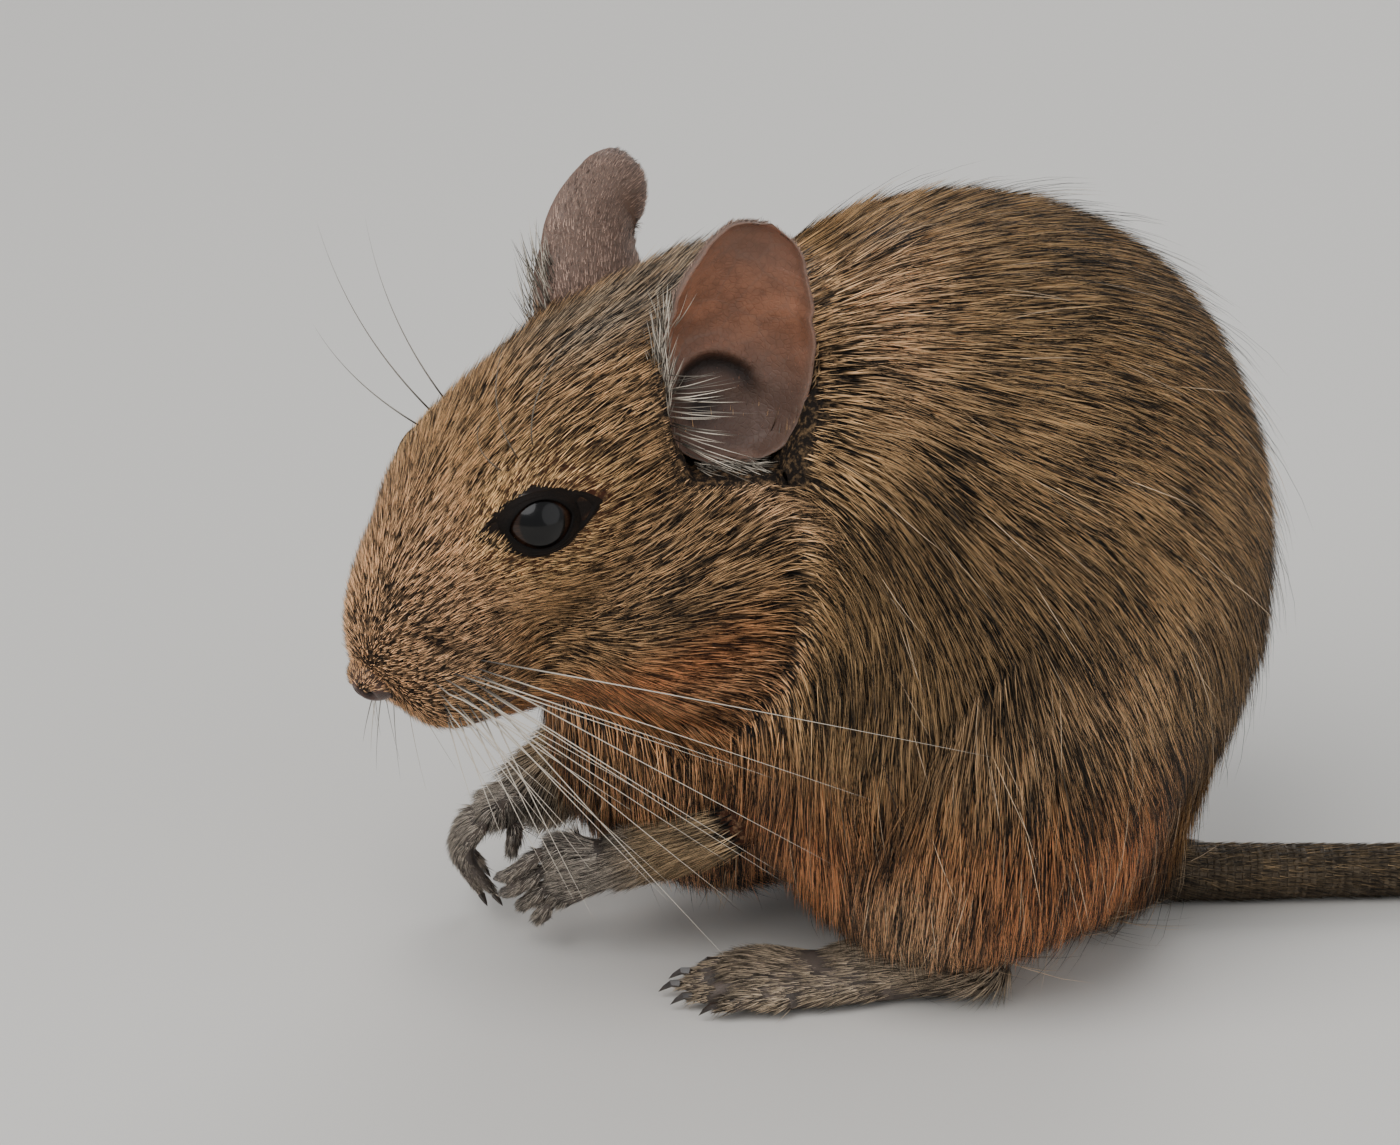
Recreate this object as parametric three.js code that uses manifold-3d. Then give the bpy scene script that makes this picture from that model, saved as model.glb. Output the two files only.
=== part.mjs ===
// A degu crouched on its hind feet with its forepaws held together under its chin, life size.
// Millimetres, +Z up. The animal faces -X, so its left side is -Y, and its soles, rump and tail rest at Z = 0.
import * as THREE from "three";
import { mergeVertices } from "three/addons/utils/BufferGeometryUtils.js";
import Module from "manifold-3d";

const wasm = await Module();
wasm.setup();

// Driving dimensions
const GAP = 0.3; // between neighbouring pieces
const HEAD_AT = [-12.6, -8, 60.3]; // the middle of the head between the ears
const HEAD_YAW = 34; // degrees that the head turns to the animal's left
const HEAD_PITCH = 20; // degrees that the snout points down
const HEAD_ROLL = -1.5; // degrees that the head tips to its left
const NECK_BACK = -11; // where the head ends, behind its middle
const EYE_AT = [23.4, 9.2, 8.6]; // forward, left and up in the head
const EYE_RADIUS = 4.6;
const EYE_AXIS = [0.22, 0.94, 0.25]; // the way the left eye looks, in the head
const LID = 0.7; // thickness of the eyelids
const EYE_LONG = 4.5; // half the length of the opening between the lids
const EYE_TALL = 2.9; // half its height
const EAR_OPEN = [0.34, 0.89, 0.12]; // the way the left ear opens, in the head
const EAR_THICK = 0.8;
const EAR_HOLLOW = 9; // how far the hollow before the ear is kept clear
const EAR_HALF = [4.7, 6.8, 7.6, 7.8, 7.2, 5.8, 3.7]; // half its breadth, from foot to tip
const EAR_DEEP = [3, 5, 5.6, 5, 3.8, 2.6, 1.4]; // how deep its cup is
const NOSE_AT = [42.6, 0, -3];
const PAD_AT = [35.6, 5, -5.4]; // the left whisker pad
const PAD_SIZE = [7, 5, 5.6];
const WHISKERS = 10; // on each side
const WHISKER_WAYS = [[-0.62, 0.66, -0.36], [-0.47, 0.64, -0.6], [-0.14, 0.54, -0.82]]; // of each row, in the head
const WHISKER_SHORT = [17, 14, 11]; // the foremost of each row
const WHISKER_LONG = [52, 47, 36]; // the rearmost
const WHISKER_ROOT = 0.55; // thickness at the root
const WHISKER_TIP = 0.2;
const SHOULDER = [3, 0, 61]; // a point on the join of neck and trunk
const THIGH_AT = [18, 25, 25]; // the right thigh
const THIGH_SIZE = [24, 15, 24];
const HEEL = [19.5, 20, 3.8];
const SOLE_HALF = 4.6; // half the breadth of the hind foot
const TOE = 1.35; // radius of a hind toe at its root
const FINGER = 1.2; // radius of a finger at its root
const CLAW_LONG = 2.6;
// Each foreleg from the elbow to the wrist, its row of knuckles from first to last finger, and the fingertips
const ARMS = {
  left: {
    elbow: [-6, -14, 20],
    wrist: [-19.5, -12.6, 12.8],
    knuckles: [[-28, -12.4, 14], [-27.2, -11, 7.4]],
    tips: [[-33.4, -8.4, 8.6], [-33, -7.4, 6.2], [-31, -7.2, 4.6], [-28, -7.6, 3.6]],
    thumb: [[-24, -9.6, 13.6], [-27.4, -7.6, 13]],
    bulge: [-1.2, -1.4, -0.6],
  },
  right: {
    elbow: [-15, 10, 22],
    wrist: [-30.2, 4.6, 13],
    knuckles: [[-34.8, -2, 12.6], [-35.6, 4.2, 11.8]],
    tips: [[-34, -4.4, 4.6], [-35.6, -2.2, 3.6], [-36.4, 0.6, 3.4], [-35.6, 3.2, 4.4]],
    thumb: [[-31.6, -0.6, 11.6], [-32, -3.4, 9.4]],
    bulge: [-2.6, -0.2, 0],
  },
};
const TAIL_RADIUS = [3.6, 2]; // at the rump and at the brush
const BRUSH_CORE = 11; // length of the brush's root
const BRUSH_LOCK = [9, 13]; // length of its locks
const BRUSH_LOCKS = 20;

const V = (x, y, z) => new THREE.Vector3(x, y, z);
const rad = THREE.MathUtils.degToRad;
const mix = THREE.MathUtils.lerp;
const clamp = THREE.MathUtils.clamp;

// A fixed series of numbers from 0 to 1, so that what varies is the same on every run.
function series(seed) {
  let state = seed;
  return () => {
    state = (state * 16807) % 2147483647;
    return state / 2147483647;
  };
}

// The head's own frame: X forward, Y to the animal's left, Z to the crown.
function headFrame() {
  const forward = V(-Math.cos(rad(HEAD_YAW)), -Math.sin(rad(HEAD_YAW)), 0)
    .multiplyScalar(Math.cos(rad(HEAD_PITCH)))
    .setZ(-Math.sin(rad(HEAD_PITCH)));
  const left = V(Math.sin(rad(HEAD_YAW)), -Math.cos(rad(HEAD_YAW)), 0);
  left.applyAxisAngle(forward, rad(-HEAD_ROLL));
  const crown = forward.clone().cross(left);
  return new THREE.Matrix4().makeBasis(forward, left, crown).setPosition(...HEAD_AT);
}
const HEAD = headFrame();
const BODY = new THREE.Matrix4();
const inHead = (p) => V(...p).applyMatrix4(HEAD);
const turnedWithHead = (d) => V(...d).transformDirection(HEAD);
const mirrored = ([x, y, z]) => [x, -y, z];

// A rounded mass of flesh. distance(p) is negative inside, and soft is how far it flows into its neighbours.
function ellipsoid(frame, at, radii, soft = 4, pitch = 0, yaw = 0) {
  const place = frame
    .clone()
    .multiply(new THREE.Matrix4().makeTranslation(...at))
    .multiply(new THREE.Matrix4().makeRotationFromEuler(new THREE.Euler(0, rad(pitch), rad(yaw), "ZYX")));
  const inverse = place.clone().invert();
  const [rx, ry, rz] = radii;
  const q = V(0, 0, 0);
  const distance = (p) => {
    q.copy(p).applyMatrix4(inverse);
    const k0 = Math.hypot(q.x / rx, q.y / ry, q.z / rz);
    const k1 = Math.hypot(q.x / (rx * rx), q.y / (ry * ry), q.z / (rz * rz));
    return k1 < 1e-9 ? -Math.min(rx, ry, rz) : (k0 * (k0 - 1)) / k1;
  };
  return { distance, soft, place, radii };
}

// A tapered limb from a to b, round in section.
function limb(a, b, ra, rb, soft = 3) {
  const start = V(...a);
  const span = V(...b).sub(start);
  const q = V(0, 0, 0);
  const distance = (p) => {
    q.copy(p).sub(start);
    const h = clamp(q.dot(span) / span.lengthSq(), 0, 1);
    return q.addScaledVector(span, -h).length() - mix(ra, rb, h);
  };
  return { distance, soft };
}

// Both sides of a mass that is given on the left.
const pair = (frame, at, radii, soft, pitch = 0, yaw = 0) => [
  ellipsoid(frame, at, radii, soft, pitch, yaw),
  ellipsoid(frame, mirrored(at), radii, soft, pitch, -yaw),
];

// The masses flow together by a polynomial smooth minimum.
function flesh(masses, grown = 0) {
  return (p) => {
    let d = masses[0].distance(p);
    for (const m of masses.slice(1)) {
      const e = m.distance(p);
      const h = Math.max(m.soft - Math.abs(d - e), 0) / m.soft;
      d = Math.min(d, e) - (h * h * m.soft) / 4;
    }
    return d - grown;
  };
}

function geometryOf(points, index) {
  const g = new THREE.BufferGeometry().setFromPoints(points);
  g.setIndex(index);
  return g;
}

// Closes rows of points that run round a form between a first and a last point.
function closeRows(first, rows, last) {
  const sides = rows[0].length;
  const points = [first, ...rows.flat(), last];
  const index = [];
  const at = (i, j) => 1 + i * sides + (j % sides);
  for (let j = 0; j < sides; j++) {
    index.push(0, at(0, j + 1), at(0, j));
    for (let i = 0; i < rows.length - 1; i++)
      index.push(at(i, j), at(i, j + 1), at(i + 1, j), at(i, j + 1), at(i + 1, j + 1), at(i + 1, j));
    index.push(at(rows.length - 1, j), at(rows.length - 1, j + 1), points.length - 1);
  }
  return geometryOf(points, index);
}

// A closed grid drawn tight over a field: rays leave a centre line, fan out at its two ends and stop at the surface.
function skinOver(field, line, rings, sides, reach = 60, up = V(0, 0, 1)) {
  const curve = new THREE.CatmullRomCurve3(line, false, "centripetal");
  const coarse = 40;
  const fine = 14;
  const probe = V(0, 0, 0);
  const outside = (from, ray, r) => field(probe.copy(from).addScaledVector(ray, r)) > 0;
  const hit = (from, ray) => {
    let near = 0;
    let far = reach;
    for (let i = 1; i <= coarse; i++) {
      const r = (reach * i) / coarse;
      if (outside(from, ray, r)) {
        far = r;
        break;
      }
      near = r;
    }
    for (let i = 0; i < fine; i++) {
      const r = (near + far) / 2;
      if (outside(from, ray, r)) far = r;
      else near = r;
    }
    return from.clone().addScaledVector(ray, far);
  };
  const pole = (t) => hit(curve.getPointAt(t), curve.getTangentAt(t).multiplyScalar(t ? 1 : -1));
  const rows = [];
  for (let i = 1; i < rings; i++) {
    const sweep = (Math.PI * i) / rings;
    const t = (1 - Math.cos(sweep)) / 2;
    const from = curve.getPointAt(t);
    const along = curve.getTangentAt(t);
    const side = up.clone().cross(along).normalize();
    const top = along.clone().cross(side);
    const row = [];
    for (let j = 0; j < sides; j++) {
      const a = (2 * Math.PI * j) / sides;
      const out = side.clone().multiplyScalar(Math.cos(a)).addScaledVector(top, Math.sin(a));
      row.push(hit(from, along.clone().multiplyScalar(-Math.cos(sweep)).addScaledVector(out, Math.sin(sweep))));
    }
    rows.push(row);
  }
  return closeRows(pole(0), rows, pole(1));
}

// A tapered tube with round ends along a line. radius(t) is given from 0 to 1, and flat squashes the section.
function tube(line, radius, rings, sides, roundness = 0.12, flat = 1) {
  const curve = new THREE.CatmullRomCurve3(line, false, "centripetal");
  const { normals, binormals } = curve.computeFrenetFrames(rings);
  const rows = [];
  for (let i = 1; i < rings; i++) {
    const t = i / rings;
    const cap = Math.min(1, Math.min(t, 1 - t) / roundness);
    const r = radius(t) * Math.sqrt(1 - (1 - cap) ** 2);
    const middle = curve.getPointAt(t);
    const row = [];
    for (let j = 0; j < sides; j++) {
      const a = (2 * Math.PI * j) / sides;
      row.push(
        middle
          .clone()
          .addScaledVector(normals[i], r * flat * Math.cos(a))
          .addScaledVector(binormals[i], r * Math.sin(a)),
      );
    }
    rows.push(row);
  }
  return closeRows(curve.getPointAt(0), rows, curve.getPointAt(1));
}

// A thin spine of three sides that tapers to its tip.
function spine(line, root, tip) {
  const curve = new THREE.CatmullRomCurve3(line, false, "centripetal");
  const { normals, binormals } = curve.computeFrenetFrames(line.length - 1);
  const rows = line.slice(0, -1).map((p, i) => {
    const r = mix(root, tip, i / (line.length - 1));
    return [0, 1, 2].map((j) =>
      p
        .clone()
        .addScaledVector(normals[i], r * Math.cos((2 * Math.PI * j) / 3))
        .addScaledVector(binormals[i], r * Math.sin((2 * Math.PI * j) / 3)),
    );
  });
  return closeRows(line[0].clone().addScaledVector(curve.getTangentAt(0), -0.3), rows, line.at(-1));
}

// A finger or toe
function digit(line, root, tip, grown) {
  const end = line.at(-1).clone().sub(line.at(-2)).setLength(grown);
  const points = [...line.slice(0, -1), line.at(-1).clone().add(end)];
  return solid(tube(points, (t) => mix(root, tip, t) + grown, 5, 6, 0.25));
}

// A curved claw that tapers to a point
const claws = (line, r) => tube(line, (t) => r * (1 - 0.85 * t ** 1.4), 4, 5, 0.1);

function solid(geometry) {
  const g = geometry.clone();
  g.deleteAttribute("normal");
  g.deleteAttribute("uv");
  const merged = mergeVertices(g, 1e-4);
  const made = new wasm.Manifold(
    new wasm.Mesh({
      numProp: 3,
      vertProperties: Float32Array.from(merged.attributes.position.array),
      triVerts: Uint32Array.from(merged.index.array),
    }),
  );
  if (made.volume() >= 0) return made;
  const turned = merged.index.array.slice();
  for (let i = 0; i < turned.length; i += 3) [turned[i + 1], turned[i + 2]] = [turned[i + 2], turned[i + 1]];
  return new wasm.Manifold(
    new wasm.Mesh({
      numProp: 3,
      vertProperties: Float32Array.from(merged.attributes.position.array),
      triVerts: Uint32Array.from(turned),
    }),
  );
}

// A smooth solid of one mass, grown by a clearance, to cut with.
function cutter(mass, grown = 0, around = 28, up = 18) {
  const g = new THREE.SphereGeometry(1, around, up);
  g.scale(...mass.radii.map((r) => r + grown));
  return solid(g.applyMatrix4(mass.place));
}

// Everything in front of a plane through a point, as a solid to cut with.
function beyond(point, normal, size = 400) {
  const g = new THREE.BoxGeometry(size, size, size).translate(0, 0, size / 2);
  const turn = new THREE.Quaternion().setFromUnitVectors(V(0, 0, 1), normal.clone().normalize());
  return solid(g.applyQuaternion(turn).translate(point.x, point.y, point.z));
}
const shifted = (point, normal, by) => point.clone().addScaledVector(normal.clone().normalize(), by);
const belowFloor = beyond(V(0, 0, 0), V(0, 0, -1));
const largest = (m) => m.decompose().sort((a, b) => b.volume() - a.volume())[0];

function colour(hex, roughness) {
  return new THREE.MeshStandardMaterial({ color: hex, roughness, metalness: 0 });
}
const COAT = colour(0x6b563a, 0.85);
const FLANK = colour(0x7a6244, 0.85);
const BARE = colour(0x5d4a44, 0.6);
const PAW = colour(0x77736a, 0.8);
const EYE = colour(0x0c0a0a, 0.08);
const CLAW = colour(0x2b2522, 0.4);
const TUFT_BLACK = colour(0x15130f, 0.8);

const groups = {};
const degu = new THREE.Group();
function place(group, name, manifold, material) {
  const { vertProperties, numProp, triVerts } = largest(manifold).getMesh();
  const xyz = new Float32Array((vertProperties.length / numProp) * 3);
  for (let i = 0; i < xyz.length / 3; i++) xyz.set(vertProperties.subarray(i * numProp, i * numProp + 3), i * 3);
  const g = new THREE.BufferGeometry();
  g.setAttribute("position", new THREE.BufferAttribute(xyz, 3));
  g.setIndex(Array.from(triVerts));
  const mesh = new THREE.Mesh(g, material);
  mesh.name = name;
  if (!groups[group]) {
    groups[group] = new THREE.Group();
    degu.add(groups[group]);
  }
  groups[group].add(mesh);
}
const SIDES = [
  { side: "left", s: 1 },
  { side: "right", s: -1 },
];

// Masses of the head, in its own frame, and of the trunk
const NECK_MASS = ellipsoid(BODY, [0, -2, 56], [17, 15, 19], 8);
const HEAD_MASSES = [
  ellipsoid(HEAD, [-4, 0, 6.5], [15, 15, 14], 6),
  ...pair(HEAD, [3, 8.5, 11], [7, 5.5, 7], 6),
  ellipsoid(HEAD, [14, 0, 8.5], [17, 12.5, 12.5], 7, 16),
  ellipsoid(HEAD, [27.5, 0, 3.5], [15.4, 9.5, 11], 6, 20),
  ellipsoid(HEAD, [35.8, 0, -2], [8.2, 6.8, 7.2], 5),
  ellipsoid(HEAD, [20, 0, -10.5], [19, 8, 7.5], 6, -6),
  ...pair(HEAD, [8, 9, -9], [16, 9.5, 13.5], 7),
  ...pair(HEAD, PAD_AT, [7, 4.6, 5.6], 3),
  ...pair(HEAD, [21.5, 7.2, 7], [10, 5.6, 8], 5, 15),
];
const TRUNK_MASSES = [
  ellipsoid(BODY, [20.5, 0, 44.5], [31.5, 32, 40], 10),
  ellipsoid(BODY, [8, 0, 58], [20, 19, 24], 10),
  ellipsoid(BODY, [-8, 0, 29], [21, 19, 24], 10),
  ellipsoid(BODY, [32, 0, 13.5], [12, 13, 14], 8),
  ...pair(BODY, [17, 20, 26], [21, 14, 21], 8, -12),
];

const headForward = turnedWithHead([1, 0, 0]);
const crown = turnedWithHead([0, 0, 1]);
const headBack = inHead([NECK_BACK, 0, 0]);
const HEAD_LINE = [inHead([-8, 0, 1]), inHead([14, 0, 0]), inHead([36, 0, -3])];
const TRUNK_LINE = [V(8, 0, 60), V(16, 0, 44), V(22, 0, 26)];
const headField = flesh(HEAD_MASSES);
const trunkField = flesh([...TRUNK_MASSES, NECK_MASS]);
const grownBy = (field, by) => (p) => field(p) - by;
const headSkin = (by) => solid(skinOver(grownBy(headField, by), HEAD_LINE, 28, 28, 45, crown));
const trunkSkin = (by) => solid(skinOver(grownBy(trunkField, by), TRUNK_LINE, 24, 30, 70, V(-1, 0, 0)));
const inFrontOfNeck = beyond(headBack, headForward);
const headRoom = headSkin(GAP).intersect(beyond(shifted(headBack, headForward, -GAP), headForward));
const trunkRoom = trunkSkin(GAP);

// The ear is a sheet bent round into a cup. Across it v runs from -1 at the front rim to 1 at the rear one.
const EAR_BEND = 1.4; // radians
function earForm(side, line, inner, outer, wider) {
  const curve = new THREE.CatmullRomCurve3(line.map(([x, y, z]) => inHead([x, y * side, z])), false, "centripetal");
  const open = turnedWithHead([EAR_OPEN[0], EAR_OPEN[1] * side, EAR_OPEN[2]]);
  const steps = 11;
  const across = 6;
  const between = (list, t) => {
    const i = Math.min(Math.floor(t * (list.length - 1)), list.length - 2);
    return mix(list[i], list[i + 1], t * (list.length - 1) - i);
  };
  const rows = [];
  for (let i = 0; i <= steps; i++) {
    const t = i / steps;
    const middle = curve.getPointAt(t);
    const along = curve.getTangentAt(t);
    const out = open.clone().projectOnPlane(along).normalize();
    const wide = out.clone().cross(along).multiplyScalar(side);
    const half = between(EAR_HALF, t) + wider;
    const deep = between(EAR_DEEP, t);
    const point = (v, off) => {
      const a = v * EAR_BEND;
      const back = (Math.cos(a) - Math.cos(EAR_BEND)) / (1 - Math.cos(EAR_BEND));
      return middle
        .clone()
        .addScaledVector(wide, (half * Math.sin(a)) / Math.sin(EAR_BEND) + off * Math.sin(a))
        .addScaledVector(out, -deep * back - off * Math.cos(a));
    };
    const row = [];
    for (let j = 0; j <= across; j++) row.push(point((2 * j) / across - 1, outer));
    for (let j = across; j >= 0; j--) {
      const v = (2 * j) / across - 1;
      if (inner === null) row.push(middle.clone().addScaledVector(wide, half * v).addScaledVector(out, EAR_HOLLOW));
      else row.push(point(v, inner));
    }
    rows.push(row);
  }
  const foot = curve.getPointAt(0).addScaledVector(curve.getTangentAt(0), -1.2);
  const tip = curve.getPointAt(1).addScaledVector(curve.getTangentAt(1), 1.2);
  return solid(closeRows(foot, rows, tip));
}
const EAR_LINES = {
  left: [[1, 12, 2.5], [-1.3, 12.6, 9], [-4.2, 13, 16], [-7.7, 13.6, 22.2], [-11.2, 14, 25.4]],
  right: [[2.4, 12, 2.5], [0.7, 12.8, 9], [-1.2, 13.6, 15.6], [-4.2, 14.4, 20.4], [-7.9, 14.8, 22.8], [-12.6, 14.8, 23.2]],
};

// The mouth's line, and the chin below it, as seen from the side of the head
function chin(grown) {
  const outline = new THREE.Shape();
  outline.moveTo(48, -10.4 + grown);
  outline.lineTo(38, -10.2 + grown);
  outline.quadraticCurveTo(31, -10.2 + grown, 25 - grown, -7.6 + grown);
  outline.lineTo(22 - grown, -8.6);
  outline.lineTo(21 - grown, -40);
  outline.lineTo(48, -40);
  const g = new THREE.ExtrudeGeometry(outline, { depth: 40, bevelEnabled: false, curveSegments: 8 });
  g.translate(0, 0, -20).rotateX(Math.PI / 2);
  return solid(g.applyMatrix4(HEAD));
}

const noseForm = (grown) => cutter(ellipsoid(HEAD, NOSE_AT, [3, 3.1, 2.9]), grown, 14, 9);

function bentClear(p, away, room) {
  const q = p.clone();
  for (let i = 0; i < 90 && Math.min(headField(q), trunkField(q)) < room; i++) q.addScaledVector(away, 0.4);
  return q;
}

const TAIL_LINE = [V(33, 3, 6.2), V(42, 3.6, 3.8), V(60, 4.2, 3.3), V(82, 6, 3), V(103, 11, 2.7), V(119, 18.5, 2.4), V(131, 27, 2.2)];
function tailForm(grown) {
  const radius = (t) => mix(TAIL_RADIUS[0], TAIL_RADIUS[1], t ** 0.8) + 1.1 * Math.max(0, 1 - 9 * t) + grown;
  return solid(tube(TAIL_LINE, radius, 30, 12, 0.03));
}

// Head
let head = headSkin(0).intersect(inFrontOfNeck);
const jaw = head.intersect(chin(0)).subtract(noseForm(GAP));
let face = head.subtract(chin(GAP)).subtract(noseForm(GAP));
let nose = noseForm(0);
let trunk = trunkSkin(0).subtract(headRoom).subtract(belowFloor);

for (const { side, s } of SIDES) {
  const at = (p) => inHead([p[0], p[1] * s, p[2]]);
  const to = (d) => turnedWithHead([d[0], d[1] * s, d[2]]);
  const outward = V(0, -s, 0);

  // Whisker pad, with the whiskers rooted in it
  const padMass = ellipsoid(HEAD, [PAD_AT[0], PAD_AT[1] * s, PAD_AT[2]], PAD_SIZE);
  let pad = face.intersect(cutter(padMass, 0, 15, 9));
  const next = series(11 + s);
  for (let i = 0; i < WHISKERS; i++) {
    const row = i % 3;
    const far = i / (WHISKERS - 1);
    const root = at([39.5 - 6.5 * far, 6.4 + 2 * far, -4.2 - 2.4 * row]);
    const long = mix(WHISKER_SHORT[row], WHISKER_LONG[row], far ** 0.8) * mix(0.92, 1.06, next());
    const [ahead, aside, above] = WHISKER_WAYS[row];
    const way = to([ahead + 0.4 * (1 - far), aside, above - 0.1 * next()]).normalize();
    const points = [0, 0.12, 0.3, 0.5, 0.75, 1].map((t) =>
      root
        .clone()
        .addScaledVector(way, long * t - 1.6)
        .add(V(0.06, 0, -0.08).multiplyScalar(long * t * t)),
    );
    const clear = points.map((p, k) => (k < 2 ? p : bentClear(p, outward, 1.6)));
    const line = new THREE.CatmullRomCurve3(clear, false, "centripetal").getPoints(4);
    pad = pad.add(solid(spine(line, WHISKER_ROOT / 2, WHISKER_TIP / 2)));
  }
  face = face.subtract(cutter(padMass, GAP, 15, 9));
  nose = nose.subtract(cutter(padMass, GAP, 15, 9).intersect(beyond(at([0, 1.2, 0]), to([0, 1, 0]))));

  // Nostril
  nose = nose.subtract(cutter(ellipsoid(HEAD, [NOSE_AT[0] + 2.1, 1.5 * s, NOSE_AT[2] - 0.5], [1.7, 0.75, 1.1], 0, 0, 25 * s), 0, 8, 6));
  place("head", "whisker_pad_" + side, pad, COAT);

  // Eye in its socket, with lids round an almond opening
  const eyeAt = at(EYE_AT);
  const sphere = (r, w, h) => solid(new THREE.SphereGeometry(r, w, h).translate(eyeAt.x, eyeAt.y, eyeAt.z));
  const look = to(EYE_AXIS);
  const long = to([-0.97, 0, -0.25]).projectOnPlane(look).normalize();
  const tall = look.clone().cross(long).multiplyScalar(s);
  const almond = new THREE.Shape();
  almond.moveTo(-EYE_LONG * 1.1, -0.3);
  almond.quadraticCurveTo(-EYE_LONG * 0.55, EYE_TALL * 1.05, 0, EYE_TALL);
  almond.quadraticCurveTo(EYE_LONG * 0.8, EYE_TALL * 0.95, EYE_LONG, 0);
  almond.quadraticCurveTo(EYE_LONG * 0.7, -EYE_TALL, 0, -EYE_TALL);
  almond.quadraticCurveTo(-EYE_LONG * 0.6, -EYE_TALL * 0.95, -EYE_LONG * 1.1, -0.3);
  const prism = new THREE.ExtrudeGeometry(almond, { depth: 12, bevelEnabled: false, curveSegments: 5 });
  const opening = solid(prism.applyMatrix4(new THREE.Matrix4().makeBasis(long, tall, look).setPosition(eyeAt)));
  const room = EYE_RADIUS + GAP;
  face = face
    .add(sphere(room + LID, 16, 10))
    .subtract(sphere(room, 16, 10))
    .subtract(opening);
  place("head", "eye_" + side, sphere(EYE_RADIUS, 14, 9), EYE);

  // Ear in its hollow
  const earRoom = earForm(s, EAR_LINES[side], null, EAR_THICK + GAP, GAP);
  face = face.subtract(earRoom);
  trunk = trunk.subtract(earRoom);
  place("head", "ear_" + side, earForm(s, EAR_LINES[side], 0, EAR_THICK, 0), BARE);
}
place("head", "head", face, COAT);
place("head", "jaw", jaw, COAT);
place("head", "nose", nose, BARE);

// Trunk, with the neck and the thighs parted from it
const neckPlane = V(-0.9, 0, 0.28).normalize();
const shoulder = V(...SHOULDER);
let torso = trunk.subtract(beyond(shoulder, neckPlane));
place("trunk", "neck", trunk.intersect(beyond(shifted(shoulder, neckPlane, GAP), neckPlane)), FLANK);
const tailRoom = tailForm(GAP);
for (const { side, s } of SIDES) {
  const y = (p, dx = 0) => V(p[0] + dx, -p[1] * s, p[2]);
  const stride = s > 0 ? 0 : 3; // the right foot stands a little further back

  // Thigh
  const thighMass = ellipsoid(BODY, y(THIGH_AT).toArray(), THIGH_SIZE, 0, -12);
  const thigh = torso.intersect(cutter(thighMass, 0, 22, 12)).intersect(beyond(V(0, -14 * s, 0), V(0, -s, 0)));
  torso = torso.subtract(cutter(thighMass, GAP, 22, 12).intersect(beyond(V(0, -(14 - GAP) * s, 0), V(0, -s, 0))));

  // Hind foot
  const heel = y(HEEL, stride);
  const ball = V(heel.x - 23, -(HEEL[1] + 0.8) * s, 2.6);
  const footField = flesh([
    limb(heel.toArray(), [heel.x - 9, heel.y, 3.6], 3.7, 3.3, 3),
    limb([heel.x - 2, heel.y, 6.5], [heel.x - 13, heel.y, 3.8], 3.2, 2.6, 4),
    ellipsoid(BODY, [ball.x + 4, ball.y, 2.4], [9, SOLE_HALF, 2.9], 3),
    ellipsoid(BODY, [ball.x - 1, ball.y, 2.2], [3.5, SOLE_HALF, 2.4], 3),
  ]);
  const footLine = [heel, V(heel.x - 12, heel.y, 3), ball];
  let foot = solid(skinOver(footField, footLine, 12, 12, 14));
  [5.6, 8.2, 9, 8.4, 6].forEach((long, i) => {
    const fan = (i - 2) * 0.1;
    const root = V(ball.x + 0.5 + 0.5 * Math.abs(i - 2), ball.y + (i - 2) * 2.05, 2);
    const tip = V(root.x - long - 1, root.y + fan * long, 1.25);
    const line = [root, root.clone().lerp(tip, 0.55).add(V(0, 0, 0.9)), tip];
    foot = foot.add(digit(line, TOE, 0.95, 0));
    const nail = [V(0.6, -fan, 0.3), V(-1.1, fan, 0.6), V(-CLAW_LONG, fan * 2, -0.5)];
    const claw = solid(claws(nail.map((p) => p.add(tip)), 0.62)).subtract(digit(line, TOE, 0.95, GAP));
    place("hind_" + side, "hind_claw_" + side + "_" + (i + 1), claw.subtract(belowFloor), CLAW);
  });
  const footRoom = solid(skinOver(grownBy(footField, GAP), footLine, 12, 12, 14));
  place("hind_" + side, "thigh_" + side, thigh.subtract(footRoom), FLANK);
  torso = torso.subtract(footRoom);
  place("hind_" + side, "hind_foot_" + side, foot.subtract(belowFloor), PAW);
}

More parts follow.
